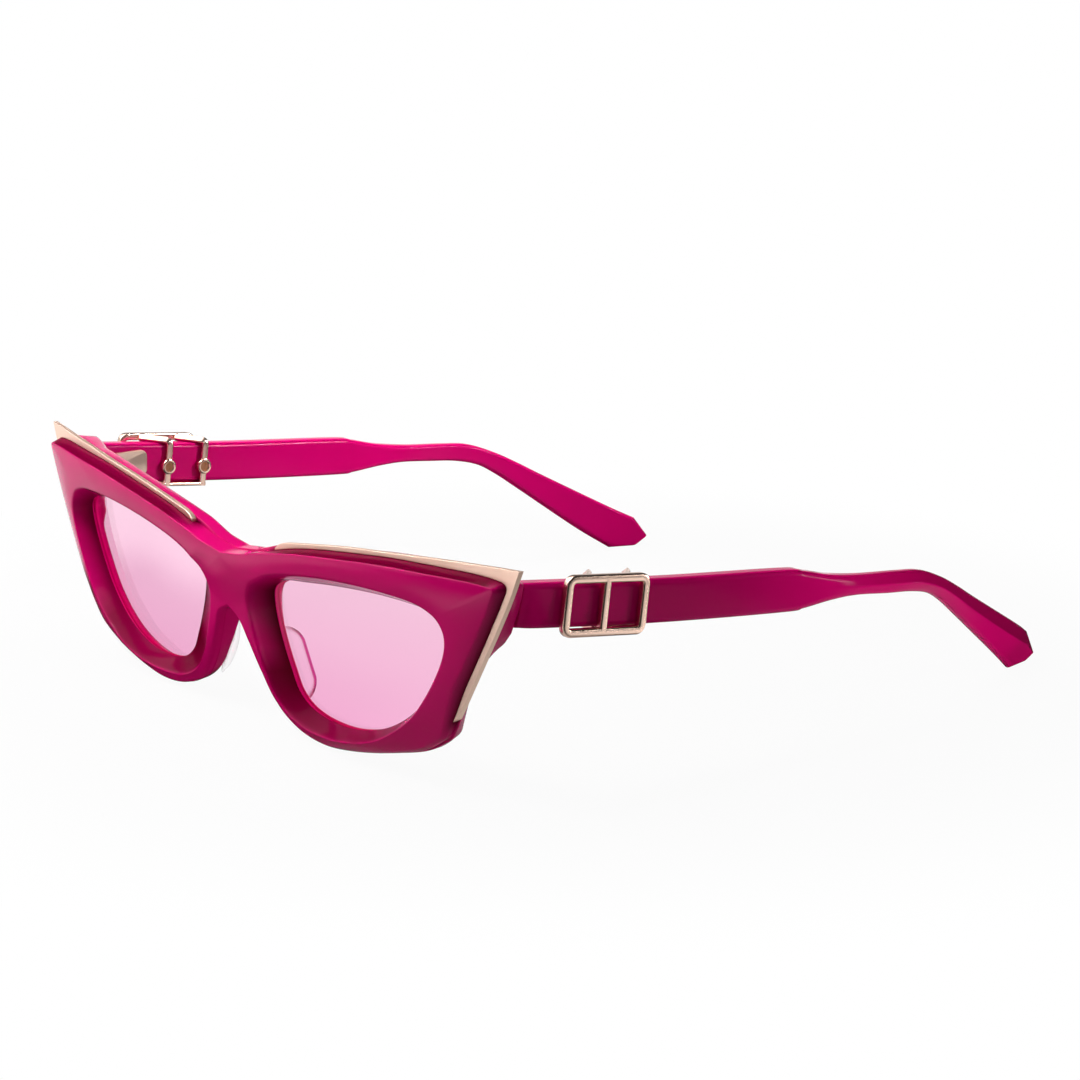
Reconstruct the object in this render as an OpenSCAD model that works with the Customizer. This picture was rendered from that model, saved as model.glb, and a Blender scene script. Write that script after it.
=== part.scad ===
// Cat eye sunglasses: curved acetate front, two lenses, metal brow trims, folding temples.
// Millimetres. X runs across the face, Y from the front to the ears, Z up.
// The open glasses stand on their rims and temple tips at Z = 0.

/* [Overall] */
// Depth of the open glasses, from the bridge to the temple tips
total_depth = 154.8; // [140:0.1:165]
// Radius of the front's curve seen from above
base_r = 394; // [300:1:600]
// Angle by which the top of the standing front leans forward
lean = 3.5; // [0:0.1:6]

/* [Front] */
// Thickness of the front at the rims
front_t = 7.4; // [7:0.1:9]
// Depth of the groove that holds the lens
groove_in = 0.9; // [0.6:0.1:1]
// Distance of the lens groove behind the front face
groove_off = 3.9; // [3.5:0.1:4.2]
// Distance of the hinge seats behind the bridge
seat_depth = 14; // [13.6:0.1:14.4]
// Steps in each span of the outlines
curve_steps = 3; // [2:1:5]

/* [Lens] */
// Thickness of a lens
lens_t = 2; // [1.6:0.1:2.2]
// Free play of a lens in its groove
lens_play = 0.06; // [0.03:0.01:0.1]

/* [Brow trim] */
// Distance of the trim behind the front face
trim_off = 2.8; // [2.4:0.1:3]
// Thickness of the trim
trim_t = 1; // [0.8:0.1:1.2]
// Radius of the pins that hold the trim
trim_pin_r = 0.25; // [0.2:0.05:0.3]
// Length of those pins
trim_pin_l = 1.6; // [1.4:0.1:1.8]

/* [Temple] */
// Thickness of a temple at the hinge
temple_t = 4; // [3.4:0.1:4.4]
// Thickness of a temple at its tip
temple_tip_t = 3.4; // [3:0.1:4]
// Gap between the temple and its seat on the front
joint_gap = 0.15; // [0.1:0.01:0.3]
// Radius of the wire in the core of a temple
core_r = 0.7; // [0.5:0.05:0.8]

/* [Hinge] */
// Half the distance between the two hinge axes
hinge_x = 65; // [64.5:0.1:65.2]
// Distance of the hinge axes behind their seats
hinge_behind = 1.35; // [1.3:0.01:1.5]
// Radius of a hinge knuckle
knuckle_r = 1.15; // [1:0.01:1.2]
// Height of one knuckle
knuckle_h = 1; // [0.9:0.05:1.1]
// Gap between two knuckles
knuckle_gap = 0.06; // [0.04:0.01:0.1]
// Radius of the hinge screw
screw_r = 0.6; // [0.5:0.01:0.65]
// Running clearance round the hinge screw
screw_play = 0.03; // [0.02:0.01:0.05]
// Height of the middle of the hinge above the table
hinge_z = 33.2; // [32.5:0.1:34]
// Thickness of the hinge leaves
leaf_t = 0.8; // [0.6:0.05:0.9]

/* [Clasp] */
// Length of the buckle on the outside of a temple
buckle_l = 18.4; // [16:0.1:20]
// Height of the buckle
buckle_h = 10.8; // [10.4:0.1:12]
// Width of the buckle's frame
buckle_bar = 1.5; // [1.2:0.1:2]
// Thickness of the buckle
buckle_t = 1.4; // [1:0.1:1.8]
// Thickness of the bars on the inside of a temple
clamp_t = 0.9; // [0.7:0.1:1.2]
// Radius of the bosses on the bars
boss_r = 1.6; // [1.3:0.1:1.8]
// Corner radius of the buckle
buckle_r = 1.8; // [0.5:0.1:2]

/* [Nose pad] */
// Length of a nose pad
pad_l = 14.5; // [11:0.5:15]
// Width of a nose pad at its lower end
pad_w = 8; // [6:0.1:8.5]
// Radius of its upper end
pad_top_r = 3.6; // [2:0.1:4]
// Height of its dome
pad_h = 2.4; // [2.2:0.1:3.5]
// Radius of its dome
pad_dome_r = 14; // [10:0.5:18]

/* [Hidden] */
$fn = 48;

front_y = -total_depth / 2;
ref_z = 31.4;
hinge_y = front_y + seat_depth + hinge_behind;
groove_w = lens_t + 2 * lens_play;
head_r = 0.95;
head_h = 0.5;
slot_w = 0.3;
leaf_corner = 1.4;
relief = 0.25;
core_play = 0.03;
shank_in = 0.9;
temple_edge = 0.6;
acetate = [0.74, 0.02, 0.36];
gold = [0.86, 0.72, 0.58];
steel = [0.62, 0.6, 0.58];
tint = [0.96, 0.72, 0.86, 0.45];
crystal = [0.93, 0.93, 0.92, 0.5];

// Front edge of the lens opening, [x, z], clockwise from beside the bridge
opening_points = [[7.9, 26.1], [11, 28], [14.5, 29.5], [20.5, 30.9], [29, 32.1], [38.5, 32.8], [47, 32.9],
    [53.5, 32.5], [57.6, 31.2], [59.5, 29.3], [60, 27], [59.3, 24.1], [57.6, 20.6], [55, 16.5], [51.5, 12.2],
    [46.5, 8.3], [40.5, 5.3], [33, 3.55], [25.5, 2.95], [18.8, 3.6], [13.4, 6.3], [10.3, 10.6], [8.3, 15],
    [7, 19], [6.5, 22.9]];
// Lip in front of the lens groove, [x, z], in the same order
lip_points = [[11.5, 26], [13.1, 27.7], [16.1, 28.8], [20.9, 29.4], [29.2, 30.4], [38.6, 31.1], [47, 31.2],
    [53.2, 30.8], [56.8, 29.7], [58, 28.5], [58.3, 27.1], [57.7, 24.7], [56.1, 21.4], [53.6, 17.5],
    [50.3, 13.4], [45.7, 9.6], [40, 6.7], [33, 5], [26.2, 5], [20.8, 6.2], [17.4, 8.6], [15.5, 12],
    [13.8, 15.6], [12.4, 19.3], [11.5, 22.9]];
// Outer edge of the front face, [x, z]: brow, outer side, and lower rim up to the bridge
brow_points = [[0, 31.4], [6.5, 32.3], [13.5, 33.9], [23, 35.5], [34, 36.8], [45.5, 37.9], [56.5, 38.5],
    [65.5, 38.8], [71.4, 38.6]];
side_points = [[71.4, 38.6], [69.5, 34.3], [67, 29.4], [64.2, 24.3], [61.4, 19.4], [59, 14.4], [56.7, 9.3]];
lower_points = [[56.7, 9.3], [51.5, 6.1], [43, 3.6], [34, 1.7], [26, 0.9], [18.6, 2], [12.4, 5.1],
    [8.5, 10], [5.25, 16], [3.2, 19.6], [0, 21.3]];
// Outer edge of the brow trim, [x, z], from the bridge end to the tip and down the side
trim_brow_points = [[13.6, 34.6], [15.2, 35.6], [19, 36.4], [32.5, 38.4], [45.3, 39.7], [57.2, 40.8],
    [68.5, 41.6], [74.7, 41.9]];
trim_side_points = [[74.7, 41.9], [71.8, 35.2], [66.9, 25.8], [61.7, 16.2], [60, 13.2]];
// Steps of the outline between which the trim lies
trim_first = 6;
trim_last = 40;

joint_d = seat_depth + joint_gap;
// Stations along a temple: upper edge [distance behind the bridge, z], lower edge the same, outer face x,
// fall of the edges from the ridge, lean of the outer face, share of the thickness lost, height of the ridge
temple_stations = [
    [joint_d, 38.2, joint_d, 30.1, 70.2, 0, 1.7, 0, 0.5],
    [20, 37.55, 20, 29.5, 70.3, 0, 0.3, 0, 0.5],
    [46, 34.7, 46, 26.7, 70.8, 0, 0, 0, 0.5],
    [74, 32.2, 74, 24.3, 71.2, 0, 0, 0, 0.5],
    [79, 31.3, 79, 24.3, 71.2, 0, 0, 0, 0.5],
    [86, 29.6, 86, 24.8, 71.3, 0.1, 0, 0, 0.5],
    [94, 28.4, 92.5, 24.8, 71.3, 0.4, 0, 0, 0.5],
    [104, 27.55, 100.5, 24, 71.3, 0.7, 0, 0, 0.5],
    [110.5, 26.75, 107.3, 23.25, 71.2, 1, 0, 0, 0.5],
    [117, 24.45, 113.1, 21.85, 70.3, 1.2, 0, 0, 0.47],
    [122.8, 21.65, 117.7, 19.4, 69.3, 1.3, 0, 0, 0.46],
    [130, 17.8, 123.6, 15.35, 67.8, 1.3, 0, 0, 0.47],
    [146, 9.5, 138, 5.2, 64.4, 1.3, 0, 0, 0.59],
    [151.9, 6.5, 145.8, 0.05, 62, 1.3, 0, 0, 0.67]];
// Flat end of a temple, straight behind its last station
temple_end = [total_depth, 2.4, total_depth - 3.6, 0.05, 60.5, 0.6, 0, 0.1, 0.72];
// Inward drift of a temple's ear end for each millimetre of depth
ear_toe = 0.21;
temple_steps = 4;

// Smooth curves through points
function blend(a, b, c, d, t) =
    b + 0.5 * t * (c - a + t * (2 * a - 5 * b + 4 * c - d + t * (3 * (b - c) + d - a)));
function open_curve(p, n) = [
    for (i = [0 : len(p) - 2], j = [0 : n - 1])
        blend(i > 0 ? p[i - 1] : 2 * p[0] - p[1], p[i], p[i + 1],
            i < len(p) - 2 ? p[i + 2] : 2 * p[i + 1] - p[i], j / n)];
function closed_curve(p, n) = let (m = len(p)) [
    for (i = [0 : m - 1], j = [0 : n - 1])
        blend(p[(i + m - 1) % m], p[i], p[(i + 1) % m], p[(i + 2) % m], j / n)];
function unit(v) = v / norm(v);
function left_of(v) = unit([-v[1], v[0]]);
function last(p) = p[len(p) - 1];

// Stations round one rim: opening edge, lip and face edge with their outward directions
opening = closed_curve(opening_points, curve_steps);
face = concat(open_curve(brow_points, curve_steps), open_curve(side_points, curve_steps),
    open_curve(lower_points, curve_steps), open_curve([last(lower_points), brow_points[0]], curve_steps));
stations = len(face);
lower_end = stations - curve_steps;
function before(i) = (i + stations - 1) % stations;
function after(i) = (i + 1) % stations;
lip = closed_curve(lip_points, curve_steps);
opening_out = [for (i = [0 : stations - 1]) left_of(opening[after(i)] - opening[before(i)])];
lip_out = [for (i = [0 : stations - 1]) left_of(lip[after(i)] - lip[before(i)])];
face_out = [for (i = [0 : stations - 1])
    i == 0 ? [0, 1]
        : i >= lower_end ? [0, i == lower_end ? -1 : 0] : left_of(face[after(i)] - face[before(i)])];

// Place on the curved, leaning front: a point [x, z] at a distance behind the front face
function sag(x) = base_r - sqrt(base_r * base_r - x * x);
function on_front(p, off) =
    [p[0], front_y + (sag(p[0]) + off) / cos(lean) + tan(lean) * (ref_z - p[1]), p[1]];
function seat_off(p) = (seat_depth - tan(lean) * (ref_z - p[1])) * cos(lean) - sag(p[0]);

// How the rim's section changes from station to station
function face_drop(k) = lookup(k, [[6, 0], [8, 0.55], [12, 0.8], [13, 1.2], [14, 2], [16, 1.4], [18, 1.8],
    [19, 2.1], [20, 2.4], [21, 2.1], [22, 1.43], [23, 0.95], [24, 0.9], [24.3, 0.5], [24.6, 0]]);
function open_drop(k) = lookup(k, [[0, 0.5], [1, 0.1], [2, 0], [17, 0.05], [18, 0.9], [19, 1.6], [20, 1.78],
    [21, 1.68], [22, 1.33], [23, 1.3], [24, 1.05], [25, 0.5]]);
function ledge_out(k) = lookup(k, [[2, 0.1], [2.85, 0.58], [3.6, 0.74], [4.3, 0.84], [5, 0.92], [6, 0.9],
    [7, 0.88], [7.6, 0.85], [8, 0.75], [8.5, 0.5], [9.5, 0.4], [10.5, 0.45], [12, 0.65], [13, 0.7], [14, 0.5],
    [16, 0.4]]);
function wall_out(k) = lookup(k, [[0, 0.3], [1, 0.4], [2, 0.9], [3, 1.35], [4.3, 1.65], [5.67, 1.9], [7, 2],
    [7.6, 1.8], [8, 1.4], [9, 1.4], [10, 1.4], [12, 1.1], [13, 1.1], [13.5, 1.3], [14, 1], [15, 0.7],
    [16, 0.5]]);
function rear_out(k) = lookup(k, [[0, 0.5], [1, 0.5], [2, 1], [3, 0.9], [4.3, 1.05], [5.67, 1.35], [7, 1.2],
    [8, -0.7], [9, 0], [10, 0.5], [10.5, 0], [11, -1], [13, -0.6], [15, 0.5], [18, 0.9], [19, 0.2],
    [20, -0.3], [21, -0.4], [22, 0], [24, 0.2]]);
function rear_in(k) = lookup(k, [[0, 0.8], [1, 0.5], [17, 0.5], [19, 1.4], [20, 2.2], [23, 2.2], [25, 0.8]]);
function seat_share(k) = lookup(k, [[6, 0], [7, 1], [10.5, 1], [11.4, 0]]);
function rim_rear(k, p) = front_t + (seat_off(p) - front_t) * seat_share(k);
// Play behind the trim and beside it, and rounding of the rim's edges
trim_back = 0.05;
trim_side = 0.03;
wall_off = trim_off + trim_t + trim_back;
edge_r = 0.8;
face_r = 0.35;
lip_r = 0.6;
seat_reach = 0.84;
low_ledge = 0.7;
low_wall = 1.6;

function rim_section(i) = let (k = i / curve_steps,
        a = opening[i], na = opening_out[i], f = face[i], nf = face_out[i],
        drop = face_drop(k),
        open = open_drop(k),
        inner = lip[i],
        groove = inner + groove_in * lip_out[i],
        inner_rear = inner + rear_in(k) * lip_out[i],
        rear = f + (rear_out(k) - edge_r) * nf,
        rear_inner = rear + seat_reach * (inner_rear - rear),
        ledge = f + ledge_out(k) * nf,
        wall = f + wall_out(k) * nf,
        brow = lookup(k, [[14, 1], [15, 0]]),
        ledge_off = brow * trim_off + (1 - brow) * (drop + low_ledge),
        seat = brow * wall_off + (1 - brow) * (drop + low_wall)) [
    on_front(f, drop),
    on_front(a + face_r * na, open),
    on_front(a, open + lip_r),
    on_front(inner, groove_off),
    on_front(groove, groove_off),
    on_front(groove, groove_off + groove_w),
    on_front(inner, groove_off + groove_w),
    on_front(inner_rear, front_t),
    on_front(rear_inner, rim_rear(k, rear_inner)),
    on_front(rear, rim_rear(k, rear)),
    on_front(f + rear_out(k) * nf, rim_rear(k, f) - edge_r),
    on_front(wall, seat),
    on_front(ledge, seat),
    on_front(ledge, ledge_off)];

// One closed skin over both rims, joined at the middle of the bridge
rim_rings = [for (i = [0 : stations - 1]) rim_section(i)];
ring_n = len(rim_rings[0]);
half_n = stations * ring_n;
first_mid = 9;
module rims() {
    half = [for (r = rim_rings, p = r) p];
    points = concat(half, [for (p = half) [-p[0], p[1], p[2]]]);
    cells = [for (i = [0 : stations - 1], j = [0 : ring_n - 1])
        let (m = (j + 1) % ring_n, e = after(i),
            middle = (i == 0 || i >= lower_end) && (e == 0 || e > lower_end))
        if (!(middle && (j == 0 || j >= first_mid) && (m == 0 || m >= first_mid)))
            [i * ring_n + j, i * ring_n + m, e * ring_n + m, e * ring_n + j]];
    faces = [for (c = cells, t = [[2, 1, 0], [3, 2, 0]]) [c[t[0]], c[t[1]], c[t[2]]]];
    polyhedron(points, concat(faces, [for (f = faces) [f[2] + half_n, f[1] + half_n, f[0] + half_n]]));
}

// Where the trim is pinned, in steps of the outline, and how deep the pins go in
pin_stations = [17, 21, 29];
pin_in = 0.5;
pin_off = trim_off + trim_t - pin_in;
module trim_pin_places() {
    for (i = pin_stations) {
        k = i / curve_steps;
        translate(on_front(face[i] + (0.6 * ledge_out(k) + 0.4 * wall_out(k)) * face_out[i], pin_off))
            rotate([-90, 0, 0]) cylinder(r = trim_pin_r, h = trim_pin_l);
    }
}

// Seat of a nose pad on the rear inner flank of a rim: its place on the outline and how it turns to the nose
pad_station = 63;
pad_in = 3.1;
pad_off = 7.5;
pad_turn = 36;
pad_lean = 20;
pad_play = 0.02;
module pad_place() {
    translate(on_front(face[pad_station] - pad_in * face_out[pad_station], pad_off))
        rotate([lean, 0, 0]) rotate([0, -pad_lean, 0]) rotate([0, 0, pad_turn])
        rotate([90, 0, 180]) children();
}
module pad_outline(grow) {
    rise = pad_l - pad_w / 2 - pad_top_r;
    slope = asin((pad_w / 2 - pad_top_r) / rise);
    low = pad_w / 2 + grow;
    high = pad_top_r + grow;
    translate([0, -rise / 2]) {
        circle(r = low);
        translate([0, rise]) circle(r = high);
        polygon([[low * cos(slope), low * sin(slope)], [high * cos(slope), rise + high * sin(slope)],
            [-high * cos(slope), rise + high * sin(slope)], [-low * cos(slope), low * sin(slope)]]);
    }
}

// Hinge axis of the left temple, and the prongs of its two leaves
knuckles = 5;
hinge_h = knuckles * knuckle_h + (knuckles - 1) * knuckle_gap;
prong_r = 0.5;
prong_l = 2;
prong_rise = 1.5;
front_leaf = [60.6, 63.6];
temple_leaf = [1.5, 10.3];
temple_leaf_x = 0.7;
temple_rivets = [3.9, 8.1];
neck_t = 0.6;
neck_in = 0.1;
module at_hinge() {
    translate([hinge_x, hinge_y, hinge_z]) children();
}
module front_prongs() {
    for (z = [-prong_rise, prong_rise])
        translate([(front_leaf[0] + front_leaf[1]) / 2, front_y + seat_depth, hinge_z + z]) rotate([90, 0, 0])
            cylinder(r = prong_r, h = prong_l);
}
module temple_prongs() {
    for (y = temple_rivets)
        translate([hinge_x + temple_leaf_x + leaf_t, hinge_y + y, hinge_z]) rotate([0, 90, 0])
            cylinder(r = prong_r, h = leaf_t);
}
module knuckle(i) {
    translate([0, 0, i * (knuckle_h + knuckle_gap) - hinge_h / 2]) children();
}

module front_frame() {
    color(acetate) difference() {
        rims();
        for (side = [0, 1]) mirror([side, 0, 0]) {
            trim_pin_places();
            pad_place() linear_extrude(2 * pad_h) pad_outline(pad_play);
            front_prongs();
        }
    }
}

// Sheets bent to the curve of the front
reach = 60;
bend_facets = 360;
module behind_face(off) {
    translate([0, front_y, ref_z]) rotate([lean, 0, 0]) translate([0, off + base_r, -reach])
        cylinder(r = base_r, h = 2 * reach, $fn = bend_facets);
}
module bent_sheet(outline, off, t) {
    intersection() {
        translate([0, front_y + reach / 2, 0]) rotate([90, 0, 0]) linear_extrude(reach) polygon(outline);
        difference() {
            behind_face(off);
            behind_face(off + t);
        }
    }
}
lens_outline = [for (i = [0 : stations - 1]) lip[i] + (groove_in - lens_play) * lip_out[i]];
module lens() {
    color(tint) bent_sheet(lens_outline, groove_off + lens_play, lens_t);
}
module lens_left() {
    lens();
}
module lens_right() {
    mirror([1, 0, 0]) lens();
}

function reversed(p) = [for (i = [len(p) - 1 : -1 : 0]) p[i]];
trim_inner = [for (i = [trim_first : trim_last])
    face[i] + (ledge_out(i / curve_steps) + trim_side) * face_out[i]];
trim_outer = concat(open_curve(trim_brow_points, curve_steps), open_curve(trim_side_points, curve_steps),
    [last(trim_side_points)]);
module brow_trim() {
    color(gold) difference() {
        bent_sheet(concat(trim_inner, reversed(trim_outer)), trim_off, trim_t);
        trim_pin_places();
    }
}
module brow_trim_left() {
    brow_trim();
}
module brow_trim_right() {
    mirror([1, 0, 0]) brow_trim();
}
module trim_pins_left() {
    color(steel) trim_pin_places();
}
module trim_pins_right() {
    mirror([1, 0, 0]) trim_pins_left();
}

// Clear pads that rest on the nose
module nose_pad_left() {
    color(crystal) pad_place() intersection() {
        linear_extrude(pad_h) pad_outline(0);
        translate([0, 0, pad_h - pad_dome_r]) sphere(r = pad_dome_r);
    }
}
module nose_pad_right() {
    mirror([1, 0, 0]) nose_pad_left();
}

// Hinge: the front leaf carries three knuckles, the temple leaf two between them
module knuckle_ring(bore) {
    difference() {
        union() {
            cylinder(r = knuckle_r, h = knuckle_h);
            children();
        }
        translate([0, 0, -knuckle_h]) cylinder(r = bore, h = 3 * knuckle_h);
    }
}
module hinge_front_left() {
    color(gold) {
        translate([front_leaf[0], front_y + seat_depth, hinge_z - hinge_h / 2])
            cube([front_leaf[1] - front_leaf[0], leaf_t, hinge_h]);
        front_prongs();
        at_hinge() for (i = [0 : 2 : knuckles - 1])
            knuckle(i) knuckle_ring(screw_r + (i == 0 ? 0 : screw_play))
                translate([front_leaf[1] - hinge_x - neck_in, -knuckle_r, 0])
                    cube([hinge_x - front_leaf[1] + neck_in, neck_t, knuckle_h]);
    }
}
module hinge_front_right() {
    mirror([1, 0, 0]) hinge_front_left();
}
module hinge_temple_left() {
    color(gold) {
        translate([hinge_x + temple_leaf_x, hinge_y, hinge_z]) rotate([0, 90, 0])
            linear_extrude(leaf_t) leaf_outline();
        temple_prongs();
        at_hinge() for (i = [1 : 2 : knuckles - 1])
            knuckle(i) knuckle_ring(screw_r + screw_play)
                translate([knuckle_r - neck_t, 0, 0]) cube([neck_t, temple_leaf[0] + neck_in, knuckle_h]);
    }
}
module hinge_temple_right() {
    mirror([1, 0, 0]) hinge_temple_left();
}
module leaf_outline() {
    leaf_l = temple_leaf[1] - temple_leaf[0];
    translate([-hinge_h / 2, temple_leaf[0]]) square([hinge_h, leaf_l - leaf_corner]);
    translate([leaf_corner - hinge_h / 2, temple_leaf[0]]) square([hinge_h - 2 * leaf_corner, leaf_l]);
    for (side = [-1, 1])
        translate([side * (hinge_h / 2 - leaf_corner), temple_leaf[1] - leaf_corner]) circle(r = leaf_corner);
}

// Screw that is the hinge axis, with a slotted head above the top knuckle
module hinge_screw_left() {
    color(steel) at_hinge() difference() {
        union() {
            translate([0, 0, -hinge_h / 2]) cylinder(r = screw_r, h = hinge_h);
            translate([0, 0, hinge_h / 2]) cylinder(r = head_r, h = head_h);
        }
        translate([-head_r, -slot_w / 2, hinge_h / 2 + head_h / 2]) cube([2 * head_r, slot_w, head_h]);
    }
}
module hinge_screw_right() {
    mirror([1, 0, 0]) hinge_screw_left();
}

// Temple: one skin through rings along its length
temple_line = concat(open_curve(temple_stations, temple_steps), [last(temple_stations), temple_end]);
function temple_ring(s) = let (
        run = (s[0] - seat_depth) / (total_depth - seat_depth),
        thick = (temple_t + (temple_tip_t - temple_t) * run) * (1 - s[7]),
        tall = norm([s[0] - s[2], s[1] - s[3]]),
        c = temple_edge / tall,
        out = s[4],
        in = out - thick,
        edge = min(temple_edge, thick / 4),
        side = [[in + edge, 0], [out - s[6] - s[5] - edge, 0], [out - s[6] - s[5], c], [out - s[6] / 2, s[8]],
            [out - s[5], 1 - c], [out - s[5] - edge, 1], [in + edge, 1], [in, 1 - c], [in, c]])
    [for (p = side)
        [p[0] + ear_toe * (1 - p[1]) * (s[0] - s[2]), front_y + s[2] + p[1] * (s[0] - s[2]),
            s[3] + p[1] * (s[1] - s[3])]];
module temple_skin() {
    rings = [for (s = temple_line) temple_ring(s)];
    n = len(rings[0]);
    cells = [for (i = [0 : len(rings) - 2], j = [0 : n - 1])
        [i * n + j, i * n + (j + 1) % n, (i + 1) * n + (j + 1) % n, (i + 1) * n + j]];
    polyhedron([for (r = rings, p = r) p], concat(
        [for (c = cells, t = [[0, 1, 2], [0, 2, 3]]) [c[t[0]], c[t[1]], c[t[2]]]],
        [[for (j = [n - 1 : -1 : 0]) j], [for (j = [0 : n - 1]) (len(rings) - 1) * n + j]]));
}
module temple_left() {
    color(acetate) difference() {
        temple_skin();
        translate([hinge_x + temple_leaf_x - 2 * leaf_t, hinge_y, hinge_z]) rotate([0, 90, 0])
            linear_extrude(3 * leaf_t) leaf_outline();
        temple_prongs();
        at_hinge() translate([0, 0, -hinge_h / 2 - relief])
            cylinder(r = knuckle_r + relief, h = hinge_h + head_h + 2 * relief);
        core_rod(core_r + core_play, core_r);
        clasp_place() clasp_shanks();
    }
}
module temple_right() {
    mirror([1, 0, 0]) temple_left();
}
// Wire in the core of a temple, from [x, distance behind the bridge, z] to the same behind
core_from = [68.25, 14.2, 33.95];
core_to = [69.35, 92, 26.6];
module core_rod(r, early) {
    run = core_to - core_from;
    translate([core_from[0], front_y + core_from[1], core_from[2]])
        rotate([-90 - atan2(-run[2], run[1]), 0, 0]) rotate([0, atan2(run[0], run[1]), 0])
        translate([0, 0, -early]) cylinder(r = r, h = norm(run) + early);
}
module core_wire_left() {
    color(steel) core_rod(core_r, 0);
}
module core_wire_right() {
    mirror([1, 0, 0]) core_wire_left();
}

// Clasp: its own axes lie on the outer face of the temple, along the temple's slope.
// Where its bars and bosses lie, and the size of the temple between its bars
clasp_d = 30.3;
clasp_z = 32.45;
clasp_x = 70.52;
clasp_slope = 6.2;
clasp_yaw = 1.1;
clasp_bars = [0.5, 9.2];
clasp_gap = 0.06;
half_tall = 4.03;
under_t = 0.7;
bar_w = 1.4;
boss_z = -0.7;
arm_slant = 4.4;
arm_w = 1.2;
boss_t = 1.2;
temple_there = 3.96;
link_short = 1;
inside = -temple_there - clasp_gap;
module clasp_place() {
    translate([clasp_x, front_y + clasp_d, clasp_z])
        rotate([-clasp_slope, 0, 0]) rotate([0, 0, -clasp_yaw]) children();
}
module clasp_shanks() {
    for (y = clasp_bars)
        translate([inside - boss_t / 2, y, boss_z]) rotate([0, 90, 0])
            cylinder(r = prong_r, h = boss_t / 2 + shank_in);
}
module rounded(size, r) {
    translate([r, 0]) square([size[0] - 2 * r, size[1]]);
    translate([0, r]) square([size[0], size[1] - 2 * r]);
    for (x = [r, size[0] - r], y = [r, size[1] - r])
        translate([x, y]) circle(r = r);
}
module clasp_buckle_left() {
    rear = clasp_bars[1] + buckle_bar / 2;
    color(gold) clasp_place() translate([clasp_gap, rear, -buckle_h / 2])
        rotate([0, 0, 90]) rotate([90, 0, 0]) mirror([1, 0, 0]) linear_extrude(buckle_t) difference() {
            rounded([buckle_l, buckle_h], buckle_r);
            for (bay = [[buckle_bar, rear - clasp_bars[0] - buckle_bar / 2],
                    [rear - clasp_bars[0] + buckle_bar / 2, buckle_l - buckle_bar]])
                translate([bay[0], buckle_bar]) square([bay[1] - bay[0], buckle_h - 2 * buckle_bar]);
        }
}
module clasp_buckle_right() {
    mirror([1, 0, 0]) clasp_buckle_left();
}
module clasp_clamp_left() {
    top = half_tall + clasp_gap;
    arm_l = clamp_t - inside + clasp_gap;
    color(gold) clasp_place() difference() {
        union() {
            for (y = clasp_bars) {
                translate([inside - clamp_t, y - bar_w / 2, -top - under_t])
                    cube([clamp_t, bar_w, 2 * top + under_t + clamp_t]);
                translate([inside - clamp_t, y, top]) linear_extrude(clamp_t)
                    polygon([[clamp_t / 4, -arm_w / 2], [arm_l, -arm_w / 2 - arm_slant],
                        [arm_l, arm_w / 2 - arm_slant], [clamp_t / 4, arm_w / 2]]);
                translate([inside - boss_t, y, boss_z]) rotate([0, 90, 0]) cylinder(r = boss_r, h = boss_t);
            }
            translate([inside - clamp_t, clasp_bars[0] - bar_w / 2, -top - under_t])
                cube([clamp_t - inside - link_short, clasp_bars[1] - clasp_bars[0] + bar_w, under_t]);
        }
        for (y = clasp_bars) translate([inside - boss_t, y, boss_z]) rotate([0, 90, 0]) {
            translate([0, 0, -boss_t]) cylinder(r = head_r + screw_play, h = boss_t + head_h);
            cylinder(r = prong_r + screw_play, h = 2 * boss_t);
        }
    }
}
module clasp_clamp_right() {
    mirror([1, 0, 0]) clasp_clamp_left();
}
module clasp_screws_left() {
    color(steel) clasp_place() for (y = clasp_bars) difference() {
        translate([inside - boss_t, y, boss_z]) rotate([0, 90, 0]) {
            cylinder(r = head_r, h = head_h - screw_play);
            cylinder(r = prong_r, h = boss_t + shank_in);
        }
        translate([inside - boss_t - head_h / 2, y - head_r, boss_z - slot_w / 2])
            cube([head_h, 2 * head_r, slot_w]);
    }
}
module clasp_screws_right() {
    mirror([1, 0, 0]) clasp_screws_left();
}

front_frame();
lens_left();
lens_right();
brow_trim_left();
brow_trim_right();
trim_pins_left();
trim_pins_right();
nose_pad_left();
nose_pad_right();
hinge_front_left();
hinge_front_right();
hinge_screw_left();
hinge_screw_right();
temple_left();
temple_right();
core_wire_left();
core_wire_right();
hinge_temple_left();
hinge_temple_right();
clasp_buckle_left();
clasp_buckle_right();
clasp_clamp_left();
clasp_clamp_right();
clasp_screws_left();
clasp_screws_right();
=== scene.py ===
import math

import bmesh
import bpy
import numpy as np
from mathutils import Matrix, Vector


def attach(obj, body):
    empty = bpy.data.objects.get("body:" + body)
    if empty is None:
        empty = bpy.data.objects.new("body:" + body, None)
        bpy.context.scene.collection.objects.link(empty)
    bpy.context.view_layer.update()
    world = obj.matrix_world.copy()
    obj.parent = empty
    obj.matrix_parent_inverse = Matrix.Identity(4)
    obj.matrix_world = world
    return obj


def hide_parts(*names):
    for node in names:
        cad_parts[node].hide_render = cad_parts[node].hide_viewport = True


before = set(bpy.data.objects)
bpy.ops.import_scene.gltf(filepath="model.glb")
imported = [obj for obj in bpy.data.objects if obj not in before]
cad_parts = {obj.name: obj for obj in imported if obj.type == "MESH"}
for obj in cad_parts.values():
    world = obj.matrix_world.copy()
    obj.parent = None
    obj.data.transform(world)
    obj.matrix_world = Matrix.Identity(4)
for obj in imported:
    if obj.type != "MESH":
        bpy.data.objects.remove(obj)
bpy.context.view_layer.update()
print("frame loaded with", len(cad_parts), "nodes")


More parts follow.
